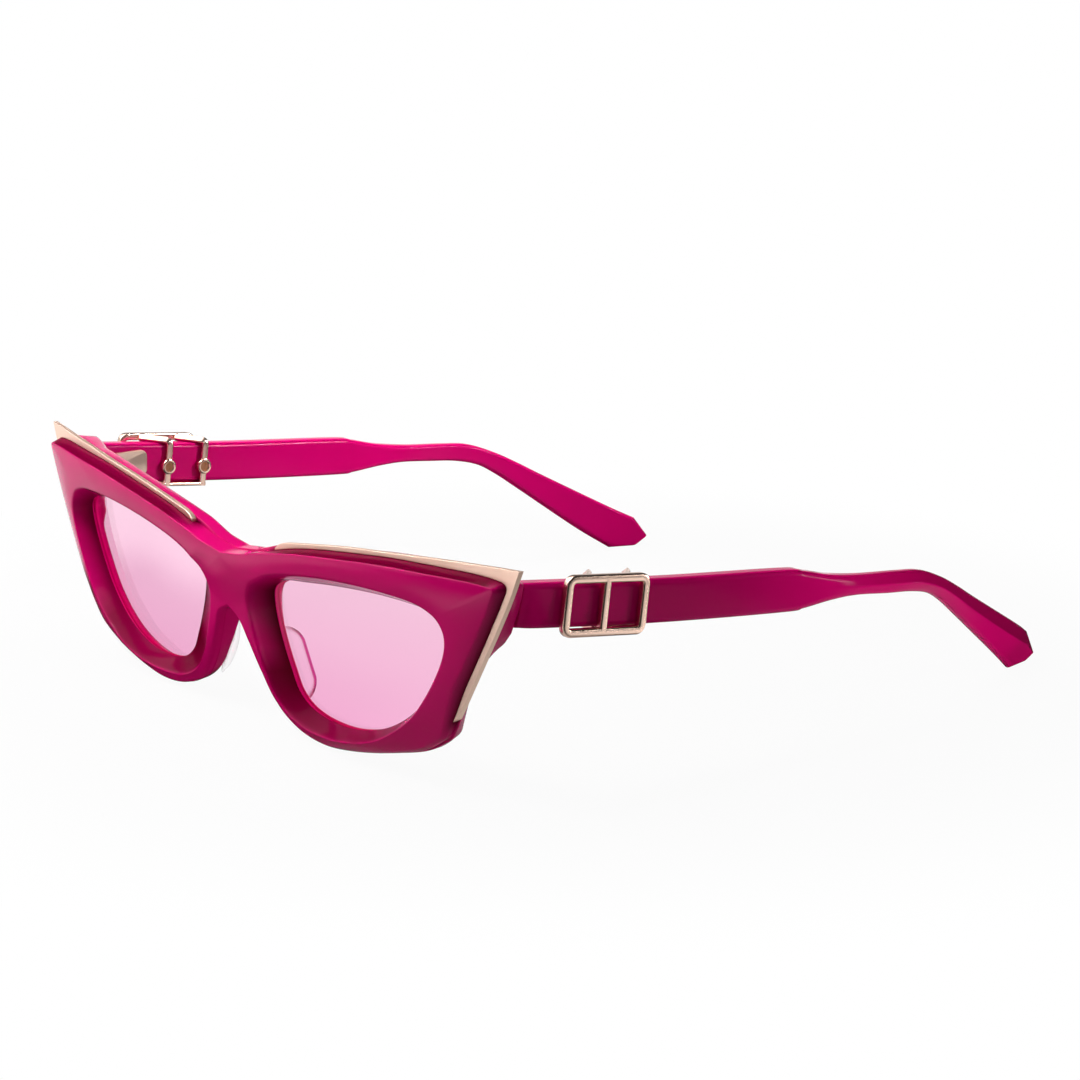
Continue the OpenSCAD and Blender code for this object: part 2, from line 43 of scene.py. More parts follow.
# A socket in a node tree: sums and products on it add Math nodes, node() adds any other node
class Wire:
    def __init__(self, tree, socket=None):
        self.tree = tree
        self.socket = socket

    def node(self, kind, settings, sockets, output=0):
        made = self.tree.nodes.new(kind)
        for name, value in settings.items():
            setattr(made, name, value)
        for name, value in sockets.items():
            if isinstance(value, Wire):
                self.tree.links.new(value.socket, made.inputs[name])
            else:
                made.inputs[name].default_value = value
        return Wire(self.tree, made.outputs[output])

    def maths(self, operation, first, second):
        return self.node("ShaderNodeMath", {"operation": operation}, {0: first, 1: second})

    def __add__(self, other):
        return self.maths("ADD", self, other)

    def __radd__(self, other):
        return self.maths("ADD", other, self)

    def __sub__(self, other):
        return self.maths("SUBTRACT", self, other)

    def __rsub__(self, other):
        return self.maths("SUBTRACT", other, self)

    def __mul__(self, other):
        return self.maths("MULTIPLY", self, other)

    def into(self, socket):
        self.tree.links.new(self.socket, socket)


def newFinish(name, **fixed):
    material = bpy.data.materials.new(name)
    material.use_nodes = True
    shader = material.node_tree.nodes["Principled BSDF"]
    for label, value in fixed.items():
        shader.inputs[label.replace("_", " ")].default_value = value
    return material, Wire(material.node_tree), shader


def mixColours(wire, share, first, second):
    return wire.node("ShaderNodeMix", {"data_type": "RGBA"}, {0: share, 6: first, 7: second}, 2)


def cloud(wire, scale, detail=2.0):
    place = wire.node("ShaderNodeTexCoord", {}, {}, "Object")
    return wire.node("ShaderNodeTexNoise", {}, {"Vector": place, "Scale": scale, "Detail": detail}, 0)


# Polished acetate: a deep magenta body with slow clouds of tone, with painted shade that makes it wine-dark and
# a painted glow where light would come through
acetateLook = {
    "deep": (0.50, 0.001, 0.105, 1), "bright": (0.60, 0.001, 0.135, 1), "clouds": 45.0, "detail": 3.0,
    "paintedShade": (0.07, 0.0, 0.005, 1), "matte": 0.95, "dullRough": 0.5, "through": (0.22, 0.0, 0.06, 1),
    "index": 1.47, "frontShine": 0.12, "templeShine": 0.05, "gloss": 0.07, "haze": 0.06, "hazeScale": 260.0,
    "ripples": 180.0, "rippleShare": 0.05, "rippleHigh": 0.0002}


def polished(name, shine):
    look = acetateLook
    finish, wire, shader = newFinish(name, IOR=look["index"], Specular_IOR_Level=shine, Emission_Strength=1.0)
    # painted light at a point: above 0 painted shade, wine-dark; below 0 a painted glow, as of light coming
    # through
    mark = wire.node("ShaderNodeAttribute", {"attribute_name": "depth"}, {}, "Fac")
    depth = wire.node("ShaderNodeMapRange", {}, {"Value": mark})
    through = wire.node("ShaderNodeMapRange", {}, {"Value": 0.0 - mark})
    # painted glow: an emission of the glow colour where the mark is below 0
    mixColours(wire, through, (0, 0, 0, 1), look["through"]).into(shader.inputs["Emission Color"])
    body = mixColours(wire, cloud(wire, look["clouds"], look["detail"]), look["deep"], look["bright"])
    # painted shade: the body is mixed towards wine-dark where the mark is above 0
    body = mixColours(wire, depth, body, look["paintedShade"])
    body.into(shader.inputs["Base Color"])
    (look["gloss"] + cloud(wire, look["hazeScale"]) * look["haze"]).into(shader.inputs["Roughness"])
    ripples = {"Strength": look["rippleShare"], "Distance": look["rippleHigh"],
               "Height": cloud(wire, look["ripples"])}
    wire.node("ShaderNodeBump", {}, ripples).into(shader.inputs["Normal"])
    # the walls of the openings and the step, where shade is painted, stay duller than the polished faces
    dull = wire.node("ShaderNodeBsdfPrincipled", {}, {
        "Base Color": body, "Roughness": look["dullRough"], "Specular IOR Level": 0.0})
    skin = wire.node("ShaderNodeMixShader", {}, {
        0: depth * look["matte"], 1: Wire(wire.tree, shader.outputs[0]), 2: dull})
    skin.into(wire.tree.nodes["Material Output"].inputs["Surface"])
    return finish


acetate = polished("polished acetate", acetateLook["frontShine"])
templeAcetate = polished("temple acetate", acetateLook["templeShine"])

# Tinted lens: clear pink, stronger towards the lower edge
lensLook = {
    "low": (0.99, 0.47, 0.72, 1), "high": (0.96, 0.59, 0.76, 1), "lowZ": 0.004, "highZ": 0.034,
    "index": 1.5, "shine": 0.35, "clean": 0.004, "wiped": 0.012, "wipeScale": 90.0}
lensFinish, wire, shader = newFinish(
    "pink lens", IOR=lensLook["index"], Transmission_Weight=1.0, Specular_IOR_Level=lensLook["shine"])
place = wire.node("ShaderNodeTexCoord", {}, {}, "Object")
height = wire.node("ShaderNodeSeparateXYZ", {}, {"Vector": place}, "Z")
rise = wire.node("ShaderNodeMapRange", {}, {
    "Value": height, "From Min": lensLook["lowZ"], "From Max": lensLook["highZ"]})
mixColours(wire, rise, lensLook["low"], lensLook["high"]).into(shader.inputs["Base Color"])
wiped = cloud(wire, lensLook["wipeScale"])
(lensLook["clean"] + wiped * lensLook["wiped"]).into(shader.inputs["Roughness"])

# Clear moulded pads: nearly unseen from the front, with the rim's colour painted in as its reflection where the
# edge lies against the rim
crystalLook = {
    "clear": (0.97, 0.95, 0.95, 1), "rimReflection": (0.6, 0.0, 0.16, 1), "thin": 0.05, "edge": 0.2, "tint": 0.95,
    "index": 1.2, "glassy": 0.7, "smooth": 0.03, "frost": 0.08, "frostScale": 500.0}
crystal, wire, shader = newFinish(
    "clear pad", IOR=crystalLook["index"], Transmission_Weight=crystalLook["glassy"])
turned = wire.node("ShaderNodeLayerWeight", {}, {"Blend": 0.5}, "Facing")
# painted reflection of the rim, read from the mark
rim = wire.node("ShaderNodeAttribute", {"attribute_name": "depth"}, {}, "Fac")
turned = turned * turned
mixColours(wire, rim, crystalLook["clear"], crystalLook["rimReflection"]).into(shader.inputs["Base Color"])
filled = crystalLook["thin"] + turned * turned * crystalLook["edge"] + rim * crystalLook["tint"]
filled.into(shader.inputs["Alpha"])
frost = cloud(wire, crystalLook["frostScale"])
(crystalLook["smooth"] + frost * crystalLook["frost"]).into(shader.inputs["Roughness"])

# Champagne plating with a fine grain and warmer patches: satin on the trims, brighter on the clasps
goldLook = {
    "warm": (0.88, 0.61, 0.48), "pale": (0.93, 0.68, 0.56), "patches": 130.0, "darker": (0.48, 0.3, 0.2),
    "satin": 0.42, "bright": 0.22, "grain": 0.06, "grains": 2600.0, "detail": 3.0, "cut": 0.02, "deep": 0.00005}


def plating(name, rough, shade=(1.0, 1.0, 1.0)):
    look = goldLook
    finish, wire, shader = newFinish(name, Metallic=1.0)
    tones = [[a * b for a, b in zip(shade, look[tone])] + [1] for tone in ("warm", "pale")]
    mixColours(wire, cloud(wire, look["patches"]), *tones).into(shader.inputs["Base Color"])
    grain = cloud(wire, look["grains"], look["detail"])
    (rough + grain * look["grain"]).into(shader.inputs["Roughness"])
    bump = {"Strength": look["cut"], "Distance": look["deep"], "Height": grain}
    wire.node("ShaderNodeBump", {}, bump).into(shader.inputs["Normal"])
    return finish


satinGold = plating("satin champagne", goldLook["satin"])
gold = plating("bright champagne", goldLook["bright"])
# darker plating for the screws in the bosses
darkerGold = plating("aged champagne", goldLook["satin"], goldLook["darker"])    # screws in the bosses

# Turned steel of hinge screws, pins and core wires
steelLook = {
    "dark": (0.50, 0.48, 0.46, 1), "light": (0.68, 0.66, 0.63, 1), "patches": 900.0,
    "rough": 0.2, "grain": 0.15, "grains": 3000.0}
steel, wire, shader = newFinish("turned steel", Metallic=1.0)
mixColours(wire, cloud(wire, steelLook["patches"]), steelLook["dark"], steelLook["light"]).into(
    shader.inputs["Base Color"])
(steelLook["rough"] + cloud(wire, steelLook["grains"]) * steelLook["grain"]).into(shader.inputs["Roughness"])
print("finishes made")


slack = 1e-6    # for comparing places along a rim, and for welding in metres
tiny = 1e-9


# Smooth curves through points, read at any place along them
def curveAt(points, places, closed=False):
    points = np.asarray(points, float)
    count = len(points)
    spans = count if closed else count - 1
    first = np.clip(np.floor(places + tiny).astype(int), 0, spans - 1)
    t = (places - first)[:, None]
    if closed:
        a, b, c, d = (points[(first + step) % count] for step in (-1, 0, 1, 2))
    else:
        longer = np.vstack([2 * points[0] - points[1], points, 2 * points[-1] - points[-2]])
        a, b, c, d = (longer[first + step] for step in (0, 1, 2, 3))
    return b + 0.5 * t * (c - a + t * (2 * a - 5 * b + 4 * c - d + t * (3 * (b - c) + d - a)))


def table(places, pairs):
    return np.interp(places, [p[0] for p in pairs], [p[1] for p in pairs])


# Rings of corners become rings with each corner rounded to its own radius
mostOfSide = 0.45    # what one rounding may take of the side beside it


def roundRings(corners, radii, counts, before=None, after=None, hold=0.0):
    before = np.roll(corners, 1, axis=1) if before is None else before
    after = np.roll(corners, -1, axis=1) if after is None else after
    columns = []
    for j, count in enumerate(counts):
        here = corners[:, j]
        if count == 1:
            columns.append(here)
            continue
        back = before[:, j] - here
        ahead = after[:, j] - here
        backLong = np.linalg.norm(back, axis=1, keepdims=True) + tiny
        aheadLong = np.linalg.norm(ahead, axis=1, keepdims=True) + tiny
        radius = np.broadcast_to(np.asarray(radii[j], float), (len(here),))[:, None]
        start = here + back / backLong * np.minimum(radius, mostOfSide * backLong)
        end = here + ahead / aheadLong * np.minimum(radius, mostOfSide * aheadLong)
        arc = [(1 - t) ** 2 * start + 2 * t * (1 - t) * here + t * t * end for t in np.linspace(0, 1, count)]
        if hold:    # a row beside each rounding keeps the faces between flat
            arc = [start + back / backLong * hold] + arc + [end + ahead / aheadLong * hold]
        columns += arc
    return np.stack(columns, axis=1)


# A finished piece from points in millimetres: closed, facing outwards, smooth with crisp edges
def makePiece(name, points, faces, finish, body, nodes, crisp, weld=slack, depth=None):
    mesh = bpy.data.meshes.new(name)
    mesh.from_pydata((np.asarray(points) / 1000.0).tolist(), [], faces)
    if depth is not None:
        mesh.attributes.new("depth", "FLOAT", "POINT").data.foreach_set("value", depth)
    return finishMesh(name, mesh, finish, body, nodes, crisp, weld)


def finishMesh(name, mesh, finish, body, nodes, crisp, weld=slack):
    work = bmesh.new()
    work.from_mesh(mesh)
    bmesh.ops.remove_doubles(work, verts=work.verts, dist=weld)
    bmesh.ops.dissolve_degenerate(work, edges=work.edges, dist=weld)
    loose = [v for v in work.verts if not v.link_faces]
    bmesh.ops.delete(work, geom=loose, context="VERTS")
    bmesh.ops.recalc_face_normals(work, faces=work.faces)
    work.to_mesh(mesh)
    work.free()
    mesh.materials.clear()
    mesh.materials.append(finish)
    mesh.polygons.foreach_set("use_smooth", [True] * len(mesh.polygons))
    mesh.set_sharp_from_angle(angle=math.radians(crisp))
    mesh.update()
    piece = bpy.data.objects.new(name, mesh)
    bpy.context.scene.collection.objects.link(piece)
    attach(piece, body)
    if nodes:
        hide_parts(*nodes)
    return piece


# Faces between rings of points, with a cap at both ends
def ringFaces(rings, around):
    faces = []
    for i in range(rings - 1):
        for j in range(around):
            m = (j + 1) % around
            faces.append((i * around + j, i * around + m, (i + 1) * around + m, (i + 1) * around + j))
    last = (rings - 1) * around
    return faces + [tuple(range(around)), tuple(last + j for j in reversed(range(around)))]


def flipped(points, side):
    return np.asarray(points) * np.array([side, 1.0, 1.0])


sides = {"left": 1.0, "right": -1.0}

# The front: sections round each lens opening on a curved, leaning face. Sizes in millimetres
frontLook = {
    "faceY": -77.4, "baseRadius": 394.0, "lean": math.radians(3.5), "levelZ": 31.4, "thick": 7.4,
    "grooveIn": 0.9, "grooveOff": 3.9, "grooveWide": 2.12, "seatDepth": 14.0, "seatReach": 0.84,
    "trimOff": 2.8, "trimThick": 1.0, "wallOff": 3.85, "lowLedge": 0.7, "lowWall": 1.6,
    "edge": 0.8, "seatEdge": 0.2, "faceRound": 0.35, "lipRound": 0.6, "steps": 9,
    "tipRound": 0.2, "tipSteps": 9, "lowRound": 0.12, "lowSteps": 5, "crisp": 38.0, "weld": 2e-6,
    "opening": [
        [7.9, 26.1], [11, 28], [14.5, 29.5], [20.5, 30.9], [29, 32.1], [38.5, 32.8], [47, 32.9], [53.5, 32.5],
        [57.6, 31.2], [59.5, 29.3], [60, 27], [59.3, 24.1], [57.6, 20.6], [55, 16.5], [51.5, 12.2], [46.5, 8.3],
        [40.5, 5.3], [33, 3.55], [25.5, 2.95], [18.8, 3.6], [13.4, 6.3], [10.3, 10.6], [8.3, 15], [7, 19],
        [6.5, 22.9]],
    "lip": [
        [11.5, 26], [13.1, 27.7], [16.1, 28.8], [20.9, 29.4], [29.2, 30.4], [38.6, 31.1], [47, 31.2],
        [53.2, 30.8], [56.8, 29.7], [58, 28.5], [58.3, 27.1], [57.7, 24.7], [56.1, 21.4], [53.6, 17.5],
        [50.3, 13.4], [45.7, 9.6], [40, 6.7], [33, 5], [26.2, 5], [20.8, 6.2], [17.4, 8.6], [15.5, 12],
        [13.8, 15.6], [12.4, 19.3], [11.5, 22.9]],
    "brow": [
        [0, 31.4], [6.5, 32.3], [13.5, 33.9], [23, 35.5], [34, 36.8], [45.5, 37.9], [56.5, 38.5], [65.5, 38.8],
        [71.4, 38.6]],
    "side": [[71.4, 38.6], [69.5, 34.3], [67, 29.4], [64.2, 24.3], [61.4, 19.4], [59, 14.4], [56.7, 9.3]],
    "lower": [
        [56.7, 9.3], [51.5, 6.1], [43, 3.6], [34, 1.7], [26, 0.9], [18.6, 2], [12.4, 5.1], [8.5, 10],
        [5.25, 16], [3.2, 19.6], [0, 21.3]],
    "drop": [
        [6, 0], [8, 0.55], [12, 0.8], [13, 1.2], [14, 2], [16, 1.4], [18, 1.8], [19, 2.1], [20, 2.4], [21, 2.1],
        [22, 1.43], [23, 0.95], [24, 0.9], [24.3, 0.5], [24.6, 0]],
    "openDrop": [
        [0, 0.5], [1, 0.1], [2, 0], [17, 0.05], [18, 0.9], [19, 1.6], [20, 1.78], [21, 1.68], [22, 1.33],
        [23, 1.3], [24, 1.05], [25, 0.5]],
    "ledge": [
        [2, 0.1], [2.85, 0.58], [3.6, 0.74], [4.3, 0.84], [5, 0.92], [6, 0.9], [7, 0.88], [7.6, 0.85],
        [8, 0.75], [8.5, 0.5], [9.5, 0.4], [10.5, 0.45], [12, 0.65], [13, 0.7], [14, 0.5], [16, 0.4]],
    "wall": [
        [0, 0.3], [1, 0.4], [2, 0.9], [3, 1.35], [4.3, 1.65], [5.67, 1.9], [7, 2], [7.6, 1.8], [8, 1.4],
        [9, 1.4], [10, 1.4], [12, 1.1], [13, 1.1], [13.5, 1.3], [14, 1], [15, 0.7], [16, 0.5]],
    "rear": [
        [0, 0.5], [1, 0.5], [2, 1], [3, 0.9], [4.3, 1.05], [5.67, 1.35], [7, 1.2], [8, -0.7], [9, 0], [10, 0.5],
        [10.5, 0], [11, -1], [13, -0.6], [15, 0.5], [18, 0.9], [19, 0.2], [20, -0.3], [21, -0.4], [22, 0],
        [24, 0.2]],
    "rearIn": [[0, 0.8], [1, 0.5], [17, 0.5], [19, 1.4], [20, 2.2], [23, 2.2], [25, 0.8]],
    "seat": [[6, 0], [7, 1], [10.5, 1], [11.4, 0]],
    "brows": [[14, 1], [15, 0]],
    # painted shade round the rim, how dark the walls and edges are painted, and where a painted glow behind the
    # lens stands in for light coming through
    "wineWall": [
        [0, 1], [2, 0.5], [7, 0.5], [9, 0.9], [13, 0.85], [15, 0.8], [17, 0.75], [18.5, 0.8], [20, 0.95],
        [21, 1]],
    "wineLip": [[13.5, 0], [15, 1], [21, 1], [22, 0]], "lit": [[0, 1], [25, 1]],
    "wineStep": [[1.5, 0], [2, 1], [13.3, 1], [13.8, 0]], "wineEdge": [[1.5, 0], [2.5, 1], [7.6, 1], [8, 0]],
    # radius and points of each rounded corner of a section, from the face edge round the opening to the ledge
    "corners": [
        (0.28, 4), (0.55, 3), (1.1, 3), (0.2, 3), (0, 1), (0, 1), (0.2, 3), (0.5, 4), (0.8, 4), (0.6, 4),
        (0.6, 4), (0.25, 3), (0, 1), (0.12, 3)]}
# places along the rim in points of the outlines: brow tip, lower corner, middle below, back at the start
brows, sideEnd, lowerEnd, wholeRim = 8, 14, 24, 25
tipPlaces = brows + frontLook["tipRound"] * np.linspace(-1, 1, frontLook["tipSteps"])
lowPlaces = sideEnd + frontLook["lowRound"] * np.linspace(-1, 1, frontLook["lowSteps"])


def faceSag(flat):
    radius = frontLook["baseRadius"]
    return radius - np.sqrt(radius ** 2 - flat[..., 0] * flat[..., 0])


def faceLean(flat):
    return math.tan(frontLook["lean"]) * (frontLook["levelZ"] - flat[..., 1])


# Points of the face's own plane, moved back by off, on the curved and leaning face
def onFront(flat, off):
    y = frontLook["faceY"] + (faceSag(flat) + off) / math.cos(frontLook["lean"]) + faceLean(flat)
    return np.stack([flat[..., 0], y, flat[..., 1]], axis=-1)


# How far back the flat hinge seat lies from the face
def seatOff(flat):
    return (frontLook["seatDepth"] - faceLean(flat)) * math.cos(frontLook["lean"]) - faceSag(flat)


def faceEdge(k):
    k = np.asarray(k, float)
    flat = np.zeros((len(k), 2))
    for points, start, stop in ((frontLook["brow"], 0, brows), (frontLook["side"], brows, sideEnd),
                                (frontLook["lower"], sideEnd, lowerEnd)):
        here = (k >= start) & (k <= stop)
        flat[here] = curveAt(points, k[here] - start)
    mid = k > lowerEnd
    share = (k[mid] - lowerEnd)[:, None]
    flat[mid] = (1 - share) * np.array(frontLook["lower"][-1]) + share * np.array(frontLook["brow"][0])
    return flat


# Directions away from the opening and from the face edge, taken at the solid's own stations
stationSteps = 3    # stations from one point of an outline to the next


def outwards(line):
    v = np.roll(line, -1, axis=0) - np.roll(line, 1, axis=0)
    v = np.stack([-v[:, 1], v[:, 0]], axis=1)
    return v / np.maximum(np.linalg.norm(v, axis=1, keepdims=True), tiny)


def stationNormals():
    k = np.arange(wholeRim * stationSteps) / stationSteps
    faceOut = outwards(faceEdge(k))
    openOut, lipOut = (outwards(curveAt(frontLook[name], k, closed=True)) for name in ("opening", "lip"))
    faceOut[0] = (0, 1)
    faceOut[k > lowerEnd - slack] = 0
    faceOut[lowerEnd * stationSteps] = (0, -1)
    return k, faceOut, openOut, lipOut


stationK, stationFaceOut, stationOpenOut, stationLipOut = stationNormals()


def normalsAt(k, field):
    longK = np.append(stationK, wholeRim)
    longField = np.vstack([field, field[:1]])
    out = np.stack([np.interp(k, longK, longField[:, axis]) for axis in (0, 1)], axis=1)
    size = np.linalg.norm(out, axis=1, keepdims=True)
    return np.where(size > slack, out / np.maximum(size, slack), 0)


# The outline with its brow tip and lower corner eased
def easedEdge(k):
    edge = faceEdge(k)
    for corner, reach in ((brows, frontLook["tipRound"]), (sideEnd, frontLook["lowRound"])):
        near = np.abs(k - corner) < reach
        t = ((k[near] - corner) / reach * 0.5 + 0.5)[:, None]
        ends = faceEdge(np.array([corner - reach, corner, corner + reach]))
        edge[near] = (1 - t) ** 2 * ends[0] + 2 * t * (1 - t) * ends[1] + t * t * ends[2]
    return edge


# Fourteen corners of each section: face edge, opening, lens groove, back of the rim, ledge for the trim
def frontHalf():
    look = frontLook
    k = np.arange(wholeRim * look["steps"]) / look["steps"]
    k = np.unique(np.round(np.concatenate([k, tipPlaces, lowPlaces]), 6))
    along = {name: table(k, look[name]) for name in ("drop", "openDrop", "seat", "brows", "rear")}
    opening = curveAt(look["opening"], k, closed=True)
    openOut = normalsAt(k, stationOpenOut)
    inner = curveAt(look["lip"], k, closed=True)
    lipOut = normalsAt(k, stationLipOut)
    face = easedEdge(k)
    faceOut = normalsAt(k, stationFaceOut)
    mid = (k < slack) | (k > lowerEnd - slack)
    faceOut[k < slack] = (0, 1)
    faceOut[k > lowerEnd + slack] = 0
    face[mid, 0] = 0
    drop, openDrop, brow = along["drop"], along["openDrop"], along["brows"]
    edge = look["edge"] - (look["edge"] - look["seatEdge"]) * along["seat"]    # crisp where the temple meets it
    innerRear = inner + table(k, look["rearIn"])[:, None] * lipOut
    rear = face + (along["rear"] - edge)[:, None] * faceOut
    rearInner = rear + look["seatReach"] * (innerRear - rear)
    rearEdge = face + along["rear"][:, None] * faceOut
    ledge = face + table(k, look["ledge"])[:, None] * faceOut
    wall = face + table(k, look["wall"])[:, None] * faceOut
    ledgeOff = brow * look["trimOff"] + (1 - brow) * (drop + look["lowLedge"])
    wallOff = brow * look["wallOff"] + (1 - brow) * (drop + look["lowWall"])
    deep = inner + look["grooveIn"] * lipOut
    grooveFront, grooveBack = look["grooveOff"], look["grooveOff"] + look["grooveWide"]

    def rimRear(flat):
        return look["thick"] + (seatOff(flat) - look["thick"]) * along["seat"]

    corners = np.stack([
        onFront(face, drop), onFront(opening + look["faceRound"] * openOut, openDrop),
        onFront(opening, openDrop + look["lipRound"]), onFront(inner, grooveFront), onFront(deep, grooveFront),
        onFront(deep, grooveBack), onFront(inner, grooveBack), onFront(innerRear, look["thick"]),
        onFront(rearInner, rimRear(rearInner)), onFront(rear, rimRear(rear)),
        onFront(rearEdge, rimRear(face) - edge),
        onFront(wall, wallOff), onFront(ledge, wallOff), onFront(ledge, ledgeOff)], axis=1)
    return k, mid, corners


# Both rims and the bridge in one skin, welded in the middle plane
def makeFront():
    k, mid, corners = frontHalf()
    count = len(k)
    before = np.roll(corners, 1, axis=1)
    after = np.roll(corners, -1, axis=1)
    low = int(np.argmin(np.abs(k - lowerEnd)))
    faceRow, rearRow = 0, 9
    for here, beside in ((0, count - 1), (low, low + 1)):
        after[here, faceRow] = corners[beside, faceRow]
        before[here, rearRow] = corners[beside, rearRow]
    radii = [np.full(count, pair[0]) for pair in frontLook["corners"]]
    counts = [pair[1] for pair in frontLook["corners"]]
    inPlane = k > lowerEnd + slack
    for row in (faceRow, rearRow):
        radii[row] = np.where(inPlane, 0.0, radii[row])
    rings = roundRings(corners, radii, counts, before, after)
    around = rings.shape[1]
    owner = np.repeat(np.arange(len(counts)), counts)
    middleRow = (owner == faceRow) | (owner >= rearRow)
    faces = []
    for i in range(count):
        e = (i + 1) % count
        middle = mid[i] and mid[e]
        for j in range(around):
            m = (j + 1) % around
            if middle and middleRow[j] and middleRow[m]:
                continue
            faces.append((i * around + j, i * around + m, e * around + m, e * around + j))
    half = rings.reshape(-1, 3)
    shift = len(half)
    points = np.vstack([half, flipped(half, -1.0)])
    faces += [tuple(v + shift for v in reversed(face)) for face in faces]
    # painted shade, wine-dark towards the lens in the openings and in the step behind the face edge, and a
    # painted glow behind the lens
    shades = {
        "wineWall": {2: [0.1, 0.25, 0.45], 3: [1, 1, 1], 4: [1], 5: [0.3]},
        "wineLip": {1: [0.15, 0.3, 0.5], 2: [0.6, 0.6, 0.45]},
        "wineStep": {11: [0, 0, 0.5], 12: [1], 13: [1, 0.9, 0.8]},
        "wineEdge": {0: [0.9, 0.3, 0, 0]},
        "lit": {6: [-1, -1, -1], 7: [-0.6, -0.3, 0, 0]}}
    depth = np.zeros((count, around))
    for along, byCorner in shades.items():
        row = np.concatenate([byCorner.get(corner, [0] * size) for corner, size in enumerate(counts)])
        depth += np.outer(table(k, frontLook[along]), row)
    depth = np.tile(depth.ravel(), 2)
    makePiece("front_acetate", points, faces, acetate, "front", ["front_frame"],
              frontLook["crisp"], frontLook["weld"], depth)


makeFront()
print("front made")

# Lenses: curved sheets in the grooves
lensShape = {
    "play": 0.06, "thick": 2.0, "rings": 14, "first": 0.02, "steps": 6, "bevel": 0.25, "bevelIn": 0.0125,
    "cut": 0.82, "crisp": 30.0}


def makeLens(side):
    look, shape = frontLook, lensShape
    k = np.arange(wholeRim * shape["steps"]) / shape["steps"]
    outline = curveAt(look["lip"], k, closed=True)
    outline = outline + (look["grooveIn"] - shape["play"]) * normalsAt(k, stationLipOut)
    centre = outline.mean(axis=0)
    front = look["grooveOff"] + shape["play"]
    back = front + shape["thick"]
    shares = np.linspace(shape["first"], 1, shape["rings"])
    inset = 1 - shape["bevelIn"]
    rows = [(share * inset, front) for share in shares]
    rows += [(1, front + shape["bevel"]), (1, back - shape["bevel"])]
    rows += [(share * inset, back) for share in shares[::-1]]
    points = np.vstack([onFront(centre + share * (outline - centre), off) for share, off in rows])
    faces = ringFaces(len(rows), len(k))
    piece = makePiece("lens_sheet_" + side, flipped(points, sides[side]), faces, lensFinish, "front",
                      ["lens_" + side], shape["crisp"], depth=np.full(len(points), -1.0))
    # the cut edge in the groove shows the colour of the rim, with the painted glow that the lens's mark of -1
    # gives
    piece.data.materials.append(acetate)
    cut = [int(abs(face.normal.y) < shape["cut"]) for face in piece.data.polygons]
    piece.data.polygons.foreach_set("material_index", cut)


for side in sides:
    makeLens(side)
print("lenses made")

# Brow trims: thin plates in the rebate, from the bridge to the tip and down the side
trimShape = {
    "first": 2.0, "last": 13.3333, "steps": 12, "sideGap": 0.03, "round": 0.13, "hold": 0.1, "crisp": 34.0,
    "samples": 600, "tipReach": 0.5,
    "brow": [[13.6, 34.6], [15.2, 35.6], [19, 36.4], [32.5, 38.4], [45.3, 39.7], [57.2, 40.8], [68.5, 41.6],
        [74.7, 41.9]],
    "side": [[74.7, 41.9], [71.8, 35.2], [66.9, 25.8], [61.7, 16.2], [60, 13.2]]}


# The outer edge straight across from the inner one, and through the tip
def trimOuter(k, inner):
    shape = trimShape
    samples = shape["samples"]
    browLine, sideLine = (curveAt(shape[name], np.linspace(0, len(shape[name]) - 1, samples))
                          for name in ("brow", "side"))
    line = np.vstack([browLine, sideLine])
    along = normalsAt(k, stationFaceOut)[:, ::-1] * np.array([1.0, -1.0])
    place = np.zeros(len(k))
    for i, spot in enumerate(inner):
        half, start = (browLine, 0) if k[i] <= brows else (sideLine, samples)
        place[i] = start + np.argmin(np.abs((half - spot) @ along[i]))
    fromTip = np.abs(k - brows)
    place[fromTip < slack] = samples - 0.5
    place[-1] = len(line) - 1
    sure = (fromTip > shape["tipReach"]) | (fromTip < slack)
    place = np.interp(k, k[sure], np.maximum.accumulate(place[sure]))
    return np.stack([np.interp(place, np.arange(len(line)), line[:, axis]) for axis in (0, 1)], axis=1)


def makeTrim(side):
    look, shape = frontLook, trimShape
    k = np.linspace(shape["first"], shape["last"], int((shape["last"] - shape["first"]) * shape["steps"]))
    k = np.unique(np.round(np.concatenate([k, tipPlaces]), 6))
    out = (table(k, look["ledge"]) + shape["sideGap"])[:, None]
    inner = easedEdge(k) + out * normalsAt(k, stationFaceOut)
    outer = trimOuter(k, inner)
    near, far = look["trimOff"], look["trimOff"] + look["trimThick"]
    corners = [onFront(inner, near), onFront(outer, near), onFront(outer, far), onFront(inner, far)]
    rings = roundRings(np.stack(corners, axis=1), [shape["round"]] * 4, [4] * 4, hold=shape["hold"])
    faces = ringFaces(len(k), rings.shape[1])
    makePiece("trim_plate_" + side, flipped(rings.reshape(-1, 3), sides[side]), faces, satinGold,
              "front", ["brow_trim_" + side], shape["crisp"])


for side in sides:
    makeTrim(side)
print("trims made")

# Nose pads: clear ovals with a flat back, a crowned face and a soft rim
padShape = {
    "station": 63, "inwards": 3.1, "off": 7.5, "turn": 36.0, "lean": 20.0, "long": 14.5, "wide": 8.0,
    "topRound": 3.6, "high": 2.4, "crown": 14.0, "rim": 0.5, "rimPower": 10, "around": 72, "first": 0.02,
    "backRings": 12, "backEdge": 0.97, "backRise": 0.25, "crownRings": 16, "least": 0.3, "crisp": 50.0,
    # rings where the rim's colour is painted in as its reflection, from the back's edge to the crown's, and how
    # far this goes round
    "tintFrom": 10, "tints": [0.3, 1, 1, 1, 0.9, 0.3], "tintShift": 0.2}


def padOutline():
    low, high = padShape["wide"] / 2, padShape["topRound"]
    rise = padShape["long"] - low - high
    slope = math.asin((low - high) / rise)
    half = padShape["around"] // 2
    lower = np.linspace(math.pi - slope, 2 * math.pi + slope, half)
    upper = np.linspace(slope, math.pi - slope, half)
    points = [(low * math.cos(t), low * math.sin(t) - rise / 2) for t in lower]
    points += [(high * math.cos(t), high * math.sin(t) + rise / 2) for t in upper]
    return np.array(points)


